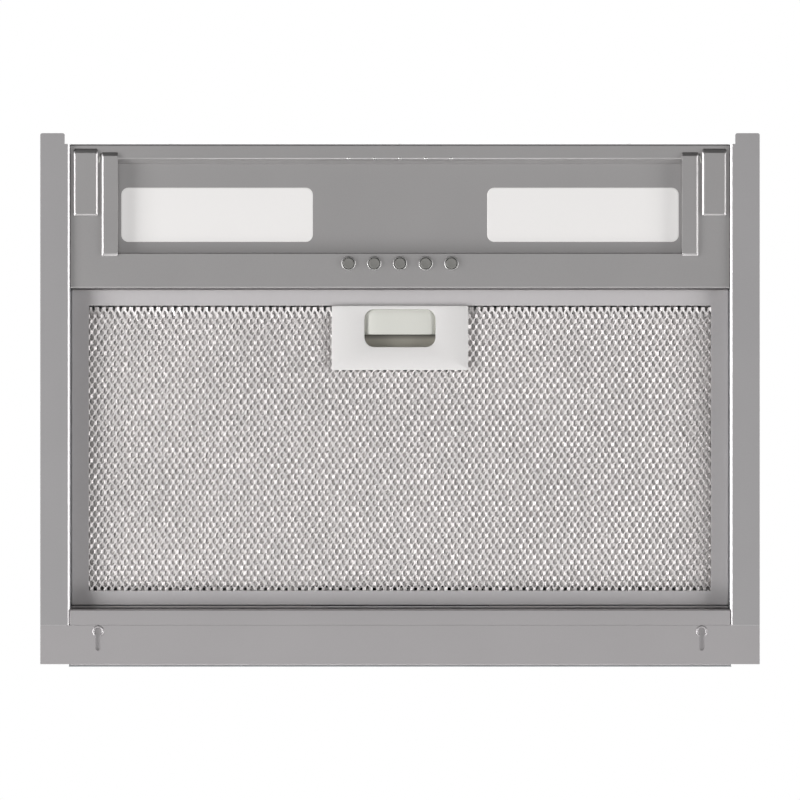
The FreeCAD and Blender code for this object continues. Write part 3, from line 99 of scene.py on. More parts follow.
def bandOfShade(nodes, links, coords, tone, band):
    # Painted shade: the tone times a share that rises from least to 1 with the distance |Y - middle|, over the band's
    # width.
    parts = nodes.new("ShaderNodeSeparateXYZ")
    away = nodes.new("ShaderNodeMath")
    away.operation = "SUBTRACT"
    away.inputs[1].default_value = band["middle"]
    distance = nodes.new("ShaderNodeMath")
    distance.operation = "ABSOLUTE"
    share = nodes.new("ShaderNodeMapRange")
    share.inputs["From Max"].default_value = band["width"]
    share.inputs["To Min"].default_value = band["least"]
    scaled = nodes.new("ShaderNodeVectorMath")
    scaled.operation = "SCALE"
    links.new(coords.outputs["Object"], parts.inputs["Vector"])
    links.new(parts.outputs["Y"], away.inputs[0])
    links.new(away.outputs["Value"], distance.inputs[0])
    links.new(distance.outputs["Value"], share.inputs["Value"])
    links.new(tone, scaled.inputs[0])
    links.new(share.outputs["Result"], scaled.inputs["Scale"])
    return scaled.outputs["Vector"]


def makeFinish(name):
    # Colour and roughness waver with a soft noise; a fine noise gives the coat its grain.
    values = finishes[name]
    made = bpy.data.materials.new(name)
    made.use_nodes = True
    nodes, links = made.node_tree.nodes, made.node_tree.links
    shader = nodes["Principled BSDF"]
    shader.inputs["Metallic"].default_value = values["metal"]
    coords = nodes.new("ShaderNodeTexCoord")
    soft = nodes.new("ShaderNodeTexNoise")
    soft.inputs["Scale"].default_value = noise["softScale"]
    soft.inputs["Detail"].default_value = noise["softDetail"]
    fine = nodes.new("ShaderNodeTexNoise")
    fine.inputs["Scale"].default_value = values["grain"]
    fine.inputs["Detail"].default_value = noise["fineDetail"]
    links.new(coords.outputs["Object"], soft.inputs["Vector"])
    links.new(coords.outputs["Object"], fine.inputs["Vector"])
    blend = nodes.new("ShaderNodeMix")
    blend.data_type = "FLOAT"
    blend.inputs["Factor"].default_value = noise["fineShare"]
    links.new(soft.outputs["Fac"], blend.inputs["A"])
    links.new(fine.outputs["Fac"], blend.inputs["B"])
    base = np.array(srgb(*values["colour"]))[:3]
    low = base * (1.0 - values["shade"])
    high = np.minimum(base * (1.0 + values["shade"]), 1.0)
    ramp = nodes.new("ShaderNodeValToRGB")
    for stop, position, colour in zip(ramp.color_ramp.elements, (0.3, 0.7), (low, high)):
        stop.position = position
        stop.color = (*colour.tolist(), 1.0)
    links.new(blend.outputs["Result"], ramp.inputs["Fac"])
    tone = ramp.outputs["Color"]
    if "band" in values:
        tone = bandOfShade(nodes, links, coords, tone, values["band"])
    links.new(tone, shader.inputs["Base Color"])
    spread = nodes.new("ShaderNodeMapRange")
    spread.inputs["To Min"].default_value = values["rough"] - noise["roughSpread"]
    spread.inputs["To Max"].default_value = values["rough"] + noise["roughSpread"]
    links.new(soft.outputs["Fac"], spread.inputs["Value"])
    links.new(spread.outputs["Result"], shader.inputs["Roughness"])
    bump = nodes.new("ShaderNodeBump")
    bump.inputs["Strength"].default_value = values["bump"]
    bump.inputs["Distance"].default_value = noise["bumpDistance"]
    links.new(fine.outputs["Fac"], bump.inputs["Height"])
    links.new(bump.outputs["Normal"], shader.inputs["Normal"])
    if "glow" in values:  # painted light: a glow that keeps the lens evenly bright where the end strips shade it, in place of light spread inside an opal plate
        shader.inputs["Emission Color"].default_value = (1.0, 0.985, 0.975, 1.0)
        shader.inputs["Emission Strength"].default_value = values["glow"]
    return made


material = {name: makeFinish(name) for name in finishes}
print("materials made:", len(material))


def roundedPath(points, radii, steps=6):
    # Straight runs joined by tangent arcs: centre + r (cos a, sin a), a from one tangent to the next.
    points = np.asarray(points, float)
    out = [points[0][None]]
    for before, here, after, radius in zip(points[:-2], points[1:-1], points[2:], radii):
        back = (before - here) / np.linalg.norm(before - here)
        ahead = (after - here) / np.linalg.norm(after - here)
        if radius <= 0:
            out.append(here[None])
            continue
        half = math.acos(np.clip(back @ ahead, -1, 1)) / 2
        middle = (back + ahead) / np.linalg.norm(back + ahead)
        centre = here + middle * radius / math.sin(half)
        startArm = here + back * radius / math.tan(half) - centre
        endArm = here + ahead * radius / math.tan(half) - centre
        turn = math.atan2(startArm[0] * endArm[1] - startArm[1] * endArm[0], startArm @ endArm)
        angles = np.linspace(0, turn, steps + 1)
        cosines = np.cos(angles)[:, None]
        sines = np.sin(angles)[:, None]
        across = np.array([-startArm[1], startArm[0]])
        out.append(centre + cosines * startArm + sines * across)
    out.append(points[-1][None])
    return np.concatenate(out)


def offsetPath(path, distance):
    # The path moved to its left: p + n d / cos(half the turn), n the mean of the two side normals.
    runs = np.diff(path, axis=0)
    runs /= np.linalg.norm(runs, axis=1)[:, None]
    sides = np.stack([-runs[:, 1], runs[:, 0]], 1)
    before = np.vstack([sides[:1], sides])
    after = np.vstack([sides, sides[-1:]])
    mean = before + after
    mean /= np.linalg.norm(mean, axis=1)[:, None]
    return path + mean * (distance / np.sum(mean * before, axis=1))[:, None]


def gridFaces(rows, columns, closeRows=False, closeColumns=False):
    # Quads (i, j) -> (i, j + 1) -> (i + 1, j + 1) -> (i + 1, j) of a grid numbered row by row.
    i = np.arange(rows if closeRows else rows - 1)
    j = np.arange(columns if closeColumns else columns - 1)
    i, j = np.meshgrid(i, j, indexing="ij")
    iNext, jNext = (i + 1) % rows, (j + 1) % columns
    quads = np.stack([i * columns + j, i * columns + jNext, iNext * columns + jNext, iNext * columns + j], -1)
    return quads.reshape(-1, 4)


def joined(*shapes):
    # Several (points, faces) shapes as one, their faces renumbered.
    points, faces, count = [], [], 0
    for shapePoints, shapeFaces in shapes:
        points.append(shapePoints)
        faces.extend([[index + count for index in face] for face in shapeFaces])
        count += len(shapePoints)
    return np.concatenate(points), faces


def placedMesh(name, points, faces):
    mesh = bpy.data.meshes.new(name)
    mesh.from_pydata((np.asarray(points) * millimetre).tolist(), [], [list(map(int, face)) for face in faces])
    mesh.update()
    return mesh


def tidyMesh(mesh, weld=0.000002):
    # Doubles merged, empty faces dropped and every face turned outward.
    work = bmesh.new()
    work.from_mesh(mesh)
    bmesh.ops.remove_doubles(work, verts=work.verts, dist=weld)
    bmesh.ops.dissolve_degenerate(work, edges=work.edges, dist=weld)
    bmesh.ops.recalc_face_normals(work, faces=work.faces)
    work.to_mesh(mesh)
    work.free()


def closedMesh(name, shape):
    mesh = placedMesh(name, *shape)
    tidyMesh(mesh)
    return mesh


def linkedObject(name, data):
    thing = bpy.data.objects.new(name, data)
    scene.collection.objects.link(thing)
    return thing


def withModifiers(thing):
    # The mesh that the object's modifiers give, as a plain mesh.
    return bpy.data.meshes.new_from_object(thing.evaluated_get(bpy.context.evaluated_depsgraph_get()))


def piece(name, shape, finish, body, nodes=(), bevel=0.0, sharp=35.0):
    return pieceFromMesh(name, closedMesh(name, shape), finish, body, nodes, bevel, sharp)


def pieceFromMesh(name, mesh, finish, body, nodes=(), bevel=0.0, sharp=35.0):
    # Makes the object, rounds its sharp edges when a bevel is given, attaches it to the body it rides on and hides the
    # nodes it stands for.
    mesh.polygons.foreach_set("use_smooth", np.ones(len(mesh.polygons), dtype=bool))
    mesh.set_sharp_from_angle(angle=math.radians(sharp))
    mesh.materials.clear()
    mesh.materials.append(material[finish])
    thing = linkedObject(name, mesh)
    if bevel > 0:
        rounding = thing.modifiers.new("edges", "BEVEL")
        rounding.width = bevel * millimetre
        rounding.segments = 2
        rounding.limit_method = "ANGLE"
        rounding.angle_limit = math.radians(40)
        rounding.harden_normals = True
    if body:  # a spring is given no body of its own
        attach(thing, body)
    if nodes:
        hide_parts(*nodes)
    return thing


def sweptSheet(path, radii, axis, start, end):
    # A folded sheet 1 mm thick: the rounded path and the same path moved left, carried straight from start
    # to end along X or Y, and closed by strips at both ends.
    near = roundedPath(path, radii)
    far = offsetPath(near, sheetThickness)
    loop = np.vstack([near, far[::-1]])
    count = len(loop)
    rings = []
    for place in (start, end):
        ring = np.zeros((count, 3))
        ring[:, 2] = loop[:, 1]
        ring[:, 0] = place if axis == "x" else loop[:, 0]
        ring[:, 1] = loop[:, 0] if axis == "x" else place
        rings.append(ring)
    points = np.vstack(rings)
    faces = gridFaces(2, count, closeColumns=True).tolist()
    half = count // 2
    for base in (0, count):
        i = np.arange(half - 1)
        faces += np.stack([base + i, base + i + 1, base + count - 2 - i, base + count - 1 - i], 1).tolist()
    return points, faces


def roundedRing(x0, y0, x1, y1, corner, z, steps=6):
    # A rectangle with quarter-circle corners, walked anticlockwise at one height.
    corner = max(corner, 0.001)
    angles = np.linspace(0, math.pi / 2, steps + 1)
    centres = [(x1 - corner, y1 - corner), (x0 + corner, y1 - corner), (x0 + corner, y0 + corner),
               (x1 - corner, y0 + corner)]
    parts = []
    for quarter, (cx, cy) in enumerate(centres):
        a = angles + quarter * math.pi / 2
        parts.append(np.stack([cx + corner * np.cos(a), cy + corner * np.sin(a), np.full_like(a, z)], 1))
    return np.vstack(parts)


def loft(rings, closeRings=False):
    # Rings of equal count joined by quads, with a flat cap at each end unless the rings are a loop.
    count = len(rings[0])
    points = np.vstack(rings)
    faces = gridFaces(len(rings), count, closeRows=closeRings, closeColumns=True).tolist()
    if not closeRings:
        faces.append(list(range(count))[::-1])
        faces.append(list(range((len(rings) - 1) * count, len(rings) * count)))
    return points, faces


def raisedOutline(outline, heights):
    # A flat outline of (x, y) lifted straight from one height to the next.
    return loft([np.column_stack([outline, np.full(len(outline), z)]) for z in heights])


def block(x0, y0, z0, x1, y1, z1, corner=0.0, steps=3):
    return loft([roundedRing(x0, y0, x1, y1, corner, z, steps) for z in (z0, z1)])


def turned(profile, centre, count=48):
    # A profile of (radius, height) turned round Z: (r cos a, r sin a, h).
    profile = np.asarray(profile, float)
    a = np.linspace(0, 2 * math.pi, count, endpoint=False)
    radius = profile[:, 0][:, None]
    height = np.repeat(profile[:, 1][:, None], count, 1)
    points = np.stack([radius * np.cos(a), radius * np.sin(a), height], -1).reshape(-1, 3)
    return points + np.asarray(centre, float), gridFaces(len(profile), count, closeColumns=True).tolist()


def closedTurn(profile, centre, count=48):
    # The same for a profile that is a loop, so the ring is closed both ways.
    points, _ = turned(profile, centre, count)
    return points, gridFaces(len(profile), count, closeRows=True, closeColumns=True).tolist()


def booleanMesh(mesh, shapes, operation):
    # Exact boolean of a mesh with each closed shape in turn, and the result as a plain mesh.
    target = linkedObject("target", mesh)
    helpers = []
    for index, shape in enumerate(shapes):
        helper = linkedObject("helper" + str(index), closedMesh("helper" + str(index), shape))
        helpers.append(helper)
        step = target.modifiers.new("step" + str(index), "BOOLEAN")
        step.operation = operation
        step.solver = "EXACT"
        step.object = helper
    result = withModifiers(target)
    for thing in [target] + helpers:
        bpy.data.objects.remove(thing)
    return result


def cutMesh(mesh, cutters):
    return booleanMesh(mesh, cutters, "DIFFERENCE")


def unitedMesh(first, second):
    return booleanMesh(closedMesh("first", first), [second], "UNION")


def hole(x, y, z0, z1, radius):
    a = np.linspace(0, 2 * math.pi, 32, endpoint=False)
    return raisedOutline(np.stack([x + radius * np.cos(a), y + radius * np.sin(a)], 1), (z0, z1))


def mirroredShape(shape):
    points, faces = shape
    return points * np.array([-1.0, 1.0, 1.0]), [list(face)[::-1] for face in faces]


rail = {"inner": 246.0, "outer": 267.0, "height": 45.0, "front": -190.1, "rear": 167.1,
        "earInner": 248.9, "earFront": -198.1, "earCorner": 1.5, "earOverlap": 3.0, "fold": 0.9,
        "hem": 245.15, "jogTop": 5.6, "jogLow": 3.9, "slant": 1.6, "slantHeight": 1.2}


def sideRail():
    # L section carried along Y; below the casing the wall jogs inward, so that the fold meets the panel.
    path = [(rail["inner"], rail["height"]), (rail["inner"], rail["jogTop"]), (rail["hem"], rail["jogLow"]),
            (rail["hem"], rail["slantHeight"]), (rail["hem"] + rail["slant"], 0), (rail["outer"], 0)]
    return sweptSheet(path, [0.5, 0.6, 0.5, rail["fold"]], "y", rail["front"], rail["rear"])


def earPlate():
    # A plate with two rounded front corners, (x, y) = corner centre + r (cos a, sin a).
    corner, left, right, front = rail["earCorner"], rail["earInner"], rail["outer"], rail["earFront"]
    a = np.linspace(0, math.pi / 2, 6)
    frontLeft = np.stack([left + corner - corner * np.cos(a), front + corner - corner * np.sin(a)], 1)
    frontRight = np.stack([right - corner + corner * np.sin(a), front + corner - corner * np.cos(a)], 1)
    backY = rail["front"] + rail["earOverlap"]
    return raisedOutline(np.vstack([frontLeft, frontRight, [[right, backY], [left, backY]]]), (0.0, sheetThickness))


railMesh = unitedMesh(sideRail(), earPlate())
pieceFromMesh("sideRailRight", railMesh, "satinSteel", "hood", ["side_rail_right"], bevel=0.12)
leftMesh = railMesh.copy()
coordinates = np.empty(len(leftMesh.vertices) * 3)
leftMesh.vertices.foreach_get("co", coordinates)
coordinates[0::3] *= -1
leftMesh.vertices.foreach_set("co", coordinates)
leftMesh.flip_normals()
leftMesh.name = "sideRailLeft"
pieceFromMesh("sideRailLeft", leftMesh, "satinSteel", "hood", ["side_rail_left"], bevel=0.12)
print("side rails made")


rear = {"bandFront": 155.2, "seam": 167.1, "gap": 0.1, "plateRear": 196.1, "lipRear": 197.1, "half": 267.0,
        "inner": 245.1, "bandHeight": 50.0, "lipHeight": 20.0, "fold": 1.6, "keyholeX": 224.0, "keyholeY": 171.7,
        "keyholeRadius": 3.4, "slotHalf": 1.9, "slotLength": 12.4, "lipOverlap": 4.0, "lipInset": 0.3}
keyholeArch = np.array([(-0.7, 0.8), (-0.7, -0.05), (-0.45, -0.38), (0.05, -0.52), (0.55, -0.38), (0.95, -0.05),
                        (1.0, 0.8)])  # distance from the entry's edge, height
keyholeBed = {"side": 7.0, "front": 4.0, "rear": 17.0, "low": 1.15, "high": 1.65, "corner": 1.0}

crossMember = sweptSheet([(rear["bandFront"], rear["bandHeight"]), (rear["bandFront"], 0), (rear["seam"], 0)],
                         [rear["fold"]], "x", -rear["inner"], rear["inner"])
piece("rearCrossMember", crossMember, "stripSteel", "hood", ["rear_cross_member"], bevel=0.2)


def entryTurn(count):
    # Angles round the entry, from one side of the slot to the other.
    gap = math.asin(rear["slotHalf"] / rear["keyholeRadius"])
    return np.linspace(gap, 2 * math.pi - gap, count)


def keyhole(x):
    # Round entry and a narrower slot behind it, walked as one outline.
    entry = entryTurn(33)
    tip = np.linspace(math.pi, 0, 13)
    radius, half, endY = rear["keyholeRadius"], rear["slotHalf"], rear["keyholeY"] + rear["slotLength"]
    ring = np.stack([x + radius * np.sin(entry), rear["keyholeY"] + radius * np.cos(entry)], 1)
    end = np.stack([x + half * np.cos(tip), endY + half * np.sin(tip)], 1)
    return raisedOutline(np.vstack([ring, end]), (-1.0, 3.0))


def keyholeRim(x):
    # The arch section carried round the entry: (x + (r + d) sin a, y + (r + d) cos a, h); the sheet close behind.
    turn = entryTurn(41)[:, None]
    reach = rear["keyholeRadius"] + keyholeArch[:, 0]
    rings = np.stack([x + reach * np.sin(turn), rear["keyholeY"] + reach * np.cos(turn),
                      np.repeat(keyholeArch[None, :, 1], len(turn), 0)], -1)
    bed = block(x - keyholeBed["side"], rear["keyholeY"] - keyholeBed["front"], keyholeBed["low"],
                x + keyholeBed["side"], rear["keyholeY"] + keyholeBed["rear"], keyholeBed["high"], keyholeBed["corner"])
    return joined(loft(list(rings)), bed)


stripFront = rear["seam"] + rear["gap"]
plate = block(-rear["half"], stripFront, 0, rear["half"], rear["plateRear"], sheetThickness)
lipHalf = rear["inner"] - rear["lipInset"]
lip = sweptSheet([(stripFront + rear["lipOverlap"], 0), (rear["lipRear"], 0), (rear["lipRear"], rear["lipHeight"])],
                 [rear["fold"]], "x", -lipHalf, lipHalf)
stripMesh = unitedMesh(plate, lip)
stripMesh = cutMesh(stripMesh, [keyhole(rear["keyholeX"]), keyhole(-rear["keyholeX"])])
pieceFromMesh("rearStrip", stripMesh, "stripSteel", "hood", ["rear_strip"], bevel=0.2)
piece("keyholeRims", joined(keyholeRim(rear["keyholeX"]), keyholeRim(-rear["keyholeX"])), "stripSteel", "hood",
      ["rear_strip"], sharp=60)
print("rear strip made")


panel = {"front": -190.1, "rear": -82.9, "half": 244.9, "low": 3.0, "recess": 9.0, "recessStart": -180.2,
         "flatStart": -175.4, "flatEnd": -109.4, "recessEnd": -108.6, "recessHalf": 215.55,
         "frontTop": 30.0, "rearTop": 24.0, "sideTop": 20.0, "fold": 1.6, "sideFold": 0.25, "slopePower": 1.7,
         "wallRun": 0.4, "edgeRun": 0.25, "lensGap": 0.1, "buttonHole": 5.0,
         "lensX": 136.1, "lensY": -137.8, "lensLength": 142.4, "lensWidth": 40.2, "lensCorner": 5.3,
         "buttonY": -101.5, "buttonPitch": 19.1}
buttonX = [(index - 2) * panel["buttonPitch"] for index in range(5)]


def panelSurface():
    # Lower skin z(x, y): a front-to-rear section whose recess, kept only for |x| under the strips, rises
    # as depth s^p, s the share of the front slope's run, and falls as depth (1 - s^p).
    section = roundedPath([(panel["front"], panel["frontTop"]), (panel["front"], panel["low"]),
                           (panel["rear"], panel["low"]), (panel["rear"], panel["rearTop"])], [panel["fold"]] * 2, 8)
    deep = panel["recess"] - panel["low"]
    frontRun, rearRun = panel["flatStart"] - panel["recessStart"], panel["recessEnd"] - panel["flatEnd"]
    share = np.linspace(0, 1, 14)
    curve = deep * share ** panel["slopePower"]
    frontSlope = np.column_stack([panel["recessStart"] + frontRun * share, curve])
    rearSlope = np.column_stack([panel["flatEnd"] + rearRun * share, deep - curve])
    dip = np.vstack([[panel["front"] + 2, 0], [panel["recessStart"] - panel["edgeRun"], 0], frontSlope, rearSlope,
                     [panel["recessEnd"] + panel["edgeRun"], 0], [panel["rear"] - 2, 0]])
    onFlat = np.linspace(panel["front"] + 2.5, panel["rear"] - 2.5, 60)
    rows = np.unique(np.concatenate([dip[1:-1, 0], onFlat]))
    bottom = np.column_stack([rows, np.full(len(rows), panel["low"])])
    cut = len(section) // 2
    path = np.vstack([section[:cut], bottom, section[cut:]])
    depth = np.interp(path[:, 0], dip[:, 0], dip[:, 1]) * (path[:, 1] <= panel["low"] + 0.001)
    half, wallTop = panel["half"], panel["sideTop"] - panel["low"]
    side = roundedPath([(half - 14, 0.0), (half, 0.0), (half, wallTop)], [panel["sideFold"]], 4)
    edge, wallRun = panel["recessHalf"], panel["wallRun"]
    inner = np.array([-edge, -edge + wallRun, -120, -60, 0, 60, 120, edge - wallRun, edge])
    keep = np.array([0, 1, 1, 1, 1, 1, 1, 1, 0], float)
    x = np.concatenate([-side[::-1, 0], inner, side[:, 0]])
    rise = np.concatenate([side[::-1, 1], np.zeros(len(inner)), side[:, 1]])
    keep = np.concatenate([np.zeros(len(side)), keep, np.zeros(len(side))])
    z = path[:, 1][:, None] + depth[:, None] * keep[None, :]
    lifted = np.maximum(z, panel["low"] + rise[None, :])
    y = np.repeat(path[:, 0][:, None], len(x), 1)
    points = np.stack([np.repeat(x[None, :], len(path), 0), y, lifted], -1).reshape(-1, 3)
    return points, gridFaces(len(path), len(x)).tolist()


shell = linkedObject("shell", closedMesh("lightPanel", panelSurface()))
thick = shell.modifiers.new("thick", "SOLIDIFY")
thick.thickness = sheetThickness * millimetre
thick.offset = -1.0
thick.use_even_offset = False
shellMesh = withModifiers(shell)
bpy.data.objects.remove(shell)
halfLength, halfWidth = panel["lensLength"] / 2 + panel["lensGap"], panel["lensWidth"] / 2 + panel["lensGap"]
cutters = [block(cx - halfLength, panel["lensY"] - halfWidth, 5, cx + halfLength, panel["lensY"] + halfWidth, 14,
                 panel["lensCorner"], 6) for cx in (-panel["lensX"], panel["lensX"])]
cutters += [hole(x, panel["buttonY"], 0, 7, panel["buttonHole"]) for x in buttonX]
shellMesh = cutMesh(shellMesh, cutters)
pieceFromMesh("lightPanel", shellMesh, "panelSteel", "hood", ["light_panel"], sharp=50)
print("light panel made")


raised = {"boxX": (224.3, 242.6), "boxY": (-186.7, -136.5), "stripX": (209.4, 221.7), "stripY": (-184.0, -106.8),
          "low": 1.0, "base": 3.0, "corner": 1.8, "stripCorner": 1.0, "roll": 1.6, "innerRoll": 0.2, "frontRoll": 3.5,
          "rearRoll": 1.8, "cheekThickness": 0.95}
coverWall = ((0, 0, 0.0), (0.03, 0.34, 0.4), (0.1, 0.4, 0.47), (0.8, 0.86, 0.92), (0.9, 0.93, 0.98), (1.0, 1.0, 1.0),
             (1.3, 1.1, 1.0))  # share of the roll drawn in at the sides, at the front, and share of the drop
cheekOutline = np.array([(-179.9, 2.0), (-177.0, 5.6), (-175.1, 8.7), (-109.7, 8.7), (-108.9, 2.0)])


def pressedCover(x, y, rolls, corner):
    # Rings drawn in while they go down: a slanted wall that rolls over into the flat face; the front
    # wall slants all the way, the others start with a short upright part.
    left, right, front, back = rolls
    under = raised["base"] - 0.1
    rings = [roundedRing(x[0], y[0], x[1], y[1], corner, raised["base"])]
    for give, giveFront, drop in coverWall:
        rings.append(roundedRing(x[0] + left * give, y[0] + front * giveFront, x[1] - right * give, y[1] - back * give,
                                 max(corner - 0.4 * give, 0.5), under - (under - raised["low"]) * drop))
    return loft(rings)


def cheek(x0, x1):
    # The strip's inner wall runs up to the recess floor, with ends that follow the recess slopes.
    return loft([np.column_stack([np.full(len(cheekOutline), x), cheekOutline]) for x in (x0, x1)])


roll, frontRoll, rearRoll = raised["roll"], raised["frontRoll"], raised["rearRoll"]
boxShape = pressedCover(raised["boxX"], raised["boxY"], (roll, roll, frontRoll, rearRoll), raised["corner"])
stripRolls = (raised["innerRoll"], roll, frontRoll * 0.85, rearRoll * 1.3)
cheekStart = raised["stripX"][0] + 0.05
stripShape = joined(pressedCover(raised["stripX"], raised["stripY"], stripRolls, raised["stripCorner"]),
                    cheek(cheekStart, cheekStart + raised["cheekThickness"]))
piece("cornerBoxRight", boxShape, "panelSteel", "hood", ["corner_box_right"], sharp=60)
piece("cornerBoxLeft", mirroredShape(boxShape), "panelSteel", "hood", ["corner_box_left"], sharp=60)
piece("endStripRight", stripShape, "panelSteel", "hood", ["end_strip_right"], sharp=60)
piece("endStripLeft", mirroredShape(stripShape), "panelSteel", "hood", ["end_strip_left"], sharp=60)


clip = {"x": 222.25, "lean": 1.5, "front": -183.0, "length": 7.0, "top": 2.9, "bow": 1.1, "half": 0.55, "thick": 0.5}


def clipShape():
    # A narrow ribbon whose height bows by a half sine along its length and leans across the gap.
    t = np.linspace(0, 1, 15)[:, None]
    across = np.array([-clip["half"], clip["half"], clip["half"], -clip["half"]])
    lift = np.array([0.0, 0.0, clip["thick"], clip["thick"]])
    rings = np.stack([clip["x"] + clip["lean"] * t + across, clip["front"] + clip["length"] * t + 0 * across,
                      clip["top"] - clip["bow"] * np.sin(math.pi * t) + lift], -1)
    return loft(list(rings))


piece("panelClips", joined(clipShape(), mirroredShape(clipShape())), "zincPlate", "hood",
      ["panel_clips"], bevel=0.1)
print("raised covers made")


lensSection = ((-1.2, 8.72), (-0.45, 8.74), (-0.15, 8.82), (0, 9.0), (0, 10.05), (3.0, 10.05),
               (3.0, 11.4))  # growth of the outline, height


def lensShape(side):
    # A flush plate with a small roll round its face, and a thin flange behind the sheet.
    cx, cy = side * panel["lensX"], panel["lensY"]
    hx, hy, corner = panel["lensLength"] / 2, panel["lensWidth"] / 2, panel["lensCorner"]
    return loft([roundedRing(cx - hx - grow, cy - hy - grow, cx + hx + grow, cy + hy + grow, corner + grow, z, 10)
                 for grow, z in lensSection])


lenses = joined(lensShape(-1), lensShape(1))
piece("lampLenses", lenses, "opalLens", "hood", ["lamp_lenses"], sharp=50)
print("lenses made")


button = {"radius": 4.0, "low": 0.6, "rim": 0.5, "flangeZ": 6.3, "flangeTop": 7.5, "flange": 5.2, "stem": 1.6,
          "stemTop": 16.0, "dish": 0.25}


def buttonShape(x):
    # Turned cap: a shallow dish, a rolled rim, a straight side, a flange and a stem.
    radius, low, rim, dish = button["radius"], button["low"], button["rim"], button["dish"]
    roll = np.linspace(0, math.pi / 2, 6)
    rolled = np.stack([radius - rim + rim * np.sin(roll), low + rim - rim * np.cos(roll)], 1)
    profile = [(0.001, low + dish), (1.5, low + dish * 0.85), (2.8, low + dish * 0.45)] + rolled.tolist()
    flange, flangeZ, flangeTop = button["flange"], button["flangeZ"], button["flangeTop"]
    stem, stemTop = button["stem"], button["stemTop"]
    profile += [(radius, flangeZ), (flange, flangeZ), (flange, flangeTop), (stem, flangeTop), (stem, stemTop),
                (0.001, stemTop)]
    return turned(profile, (x, panel["buttonY"], 0))


for index, x in enumerate(buttonX):
    number = str(index + 1)
    piece("button" + number, buttonShape(x), "buttonPlastic", "push_button_" + number,
          ["button_" + number], sharp=50)

bezel = {"outer": 5.4, "bore": 4.1, "sleeve": 4.95, "low": 1.8, "base": 3.0, "top": 6.0}


def bezelShape(x):
    # A loop profile: half-round ring below the panel, sleeve through it.
    a = np.linspace(0, math.pi, 13)
    middle, half = (bezel["outer"] + bezel["bore"]) / 2, (bezel["outer"] - bezel["bore"]) / 2
    crown = np.stack([middle + half * np.cos(a), bezel["base"] - (bezel["base"] - bezel["low"]) * np.sin(a)], 1)
    sleeve = [(bezel["bore"], bezel["top"]), (bezel["sleeve"], bezel["top"]), (bezel["sleeve"], bezel["base"])]
    return closedTurn(crown.tolist() + sleeve, (x, panel["buttonY"], 0))


piece("buttonBezels", joined(*[bezelShape(x) for x in buttonX]), "silverPlastic", "hood",
      ["button_bezels"], sharp=50)


indicator = {"slopeStart": (-180.2, 3.0), "slope": (4.8, 6.0), "along": 1.7, "radius": 1.8, "dome": 0.9, "root": 1.0}


def indicatorShape(x):
    # A small dome whose axis is square to the recess's front slope: centre + n h + r (cos a, sin a) on the slope.
    slopeY, slopeZ = np.array(indicator["slope"]) / math.hypot(*indicator["slope"])
    run = np.array([0.0, slopeY, slopeZ])
    facing = np.array([0.0, slopeZ, -slopeY])
    centre = np.array([x, *indicator["slopeStart"]]) + run * indicator["along"]
    across = np.array([1.0, 0.0, 0.0])
    radius, dome = indicator["radius"], indicator["dome"]
    a = np.linspace(0, math.pi / 2, 8)[1:-1]
    radii = np.concatenate([[radius, radius], radius * np.cos(a), [0.002]])
    heights = np.concatenate([[-indicator["root"], 0.0], dome * np.sin(a), [dome]])
    turn = np.linspace(0, 2 * math.pi, 32, endpoint=False)
    rings = [centre + facing * h + r * (np.cos(turn)[:, None] * across + np.sin(turn)[:, None] * run)
             for r, h in zip(radii, heights)]
    return loft(rings)


piece("indicatorLenses", joined(*[indicatorShape(x) for x in buttonX]), "silverPlastic", "hood",
      ["indicator_lenses"], sharp=50)
print("buttons made")


grease = {"half": 244.7, "front": -82.45, "rear": 152.7, "low": 11.0, "high": 20.0, "skin": 0.8, "lip": 13.2,
          "frontLip": 12.2, "rearLip": 10.8, "fold": 1.0, "corner": 1.5, "inner": 0.6}


def filterFrame():
    # A channel section carried round the rectangle: share s of the lip width inward, height z.
    def ring(s, z, push=0.0):
        corner = max(grease["corner"] - push, 0.3) if s < 0.5 else 0.4
        return roundedRing(-grease["half"] + s * grease["lip"] + push, grease["front"] + s * grease["frontLip"] + push,
                           grease["half"] - s * grease["lip"] - push, grease["rear"] - s * grease["rearLip"] - push,
                           corner, z, 5)

    fold, skin, low, high, inner = (grease[key] for key in ("fold", "skin", "low", "high", "inner"))
    rings = [ring(1, low), ring(1, low + skin)]
    rings += [ring(0, low + skin, push=skin + inner), ring(0, low + skin + inner, push=skin)]
    rings += [ring(0, high - skin - inner, push=skin), ring(0, high - skin, push=skin + inner)]
    rings += [ring(1, high - skin), ring(1, high)]
    a = np.linspace(0, math.pi / 2, 6)
    rings += [ring(0, high - fold + fold * math.cos(b), push=fold - fold * math.sin(b)) for b in a]
    rings += [ring(0, low + fold - fold * math.sin(b), push=fold - fold * math.cos(b)) for b in a]
    return loft(rings, closeRings=True)


rearHem = block(-244.6, 153.4, 12.2, 244.6, 154.5, 13.2)
tongueSlot = block(-8.3, -84, 13.7, 8.3, -78, 16.3)
frameMesh = cutMesh(closedMesh("filterFrame", joined(filterFrame(), rearHem)), [tongueSlot])
pieceFromMesh("filterFrame", frameMesh, "filterAluminium", "filter", ["filter_frame"], bevel=0.12)

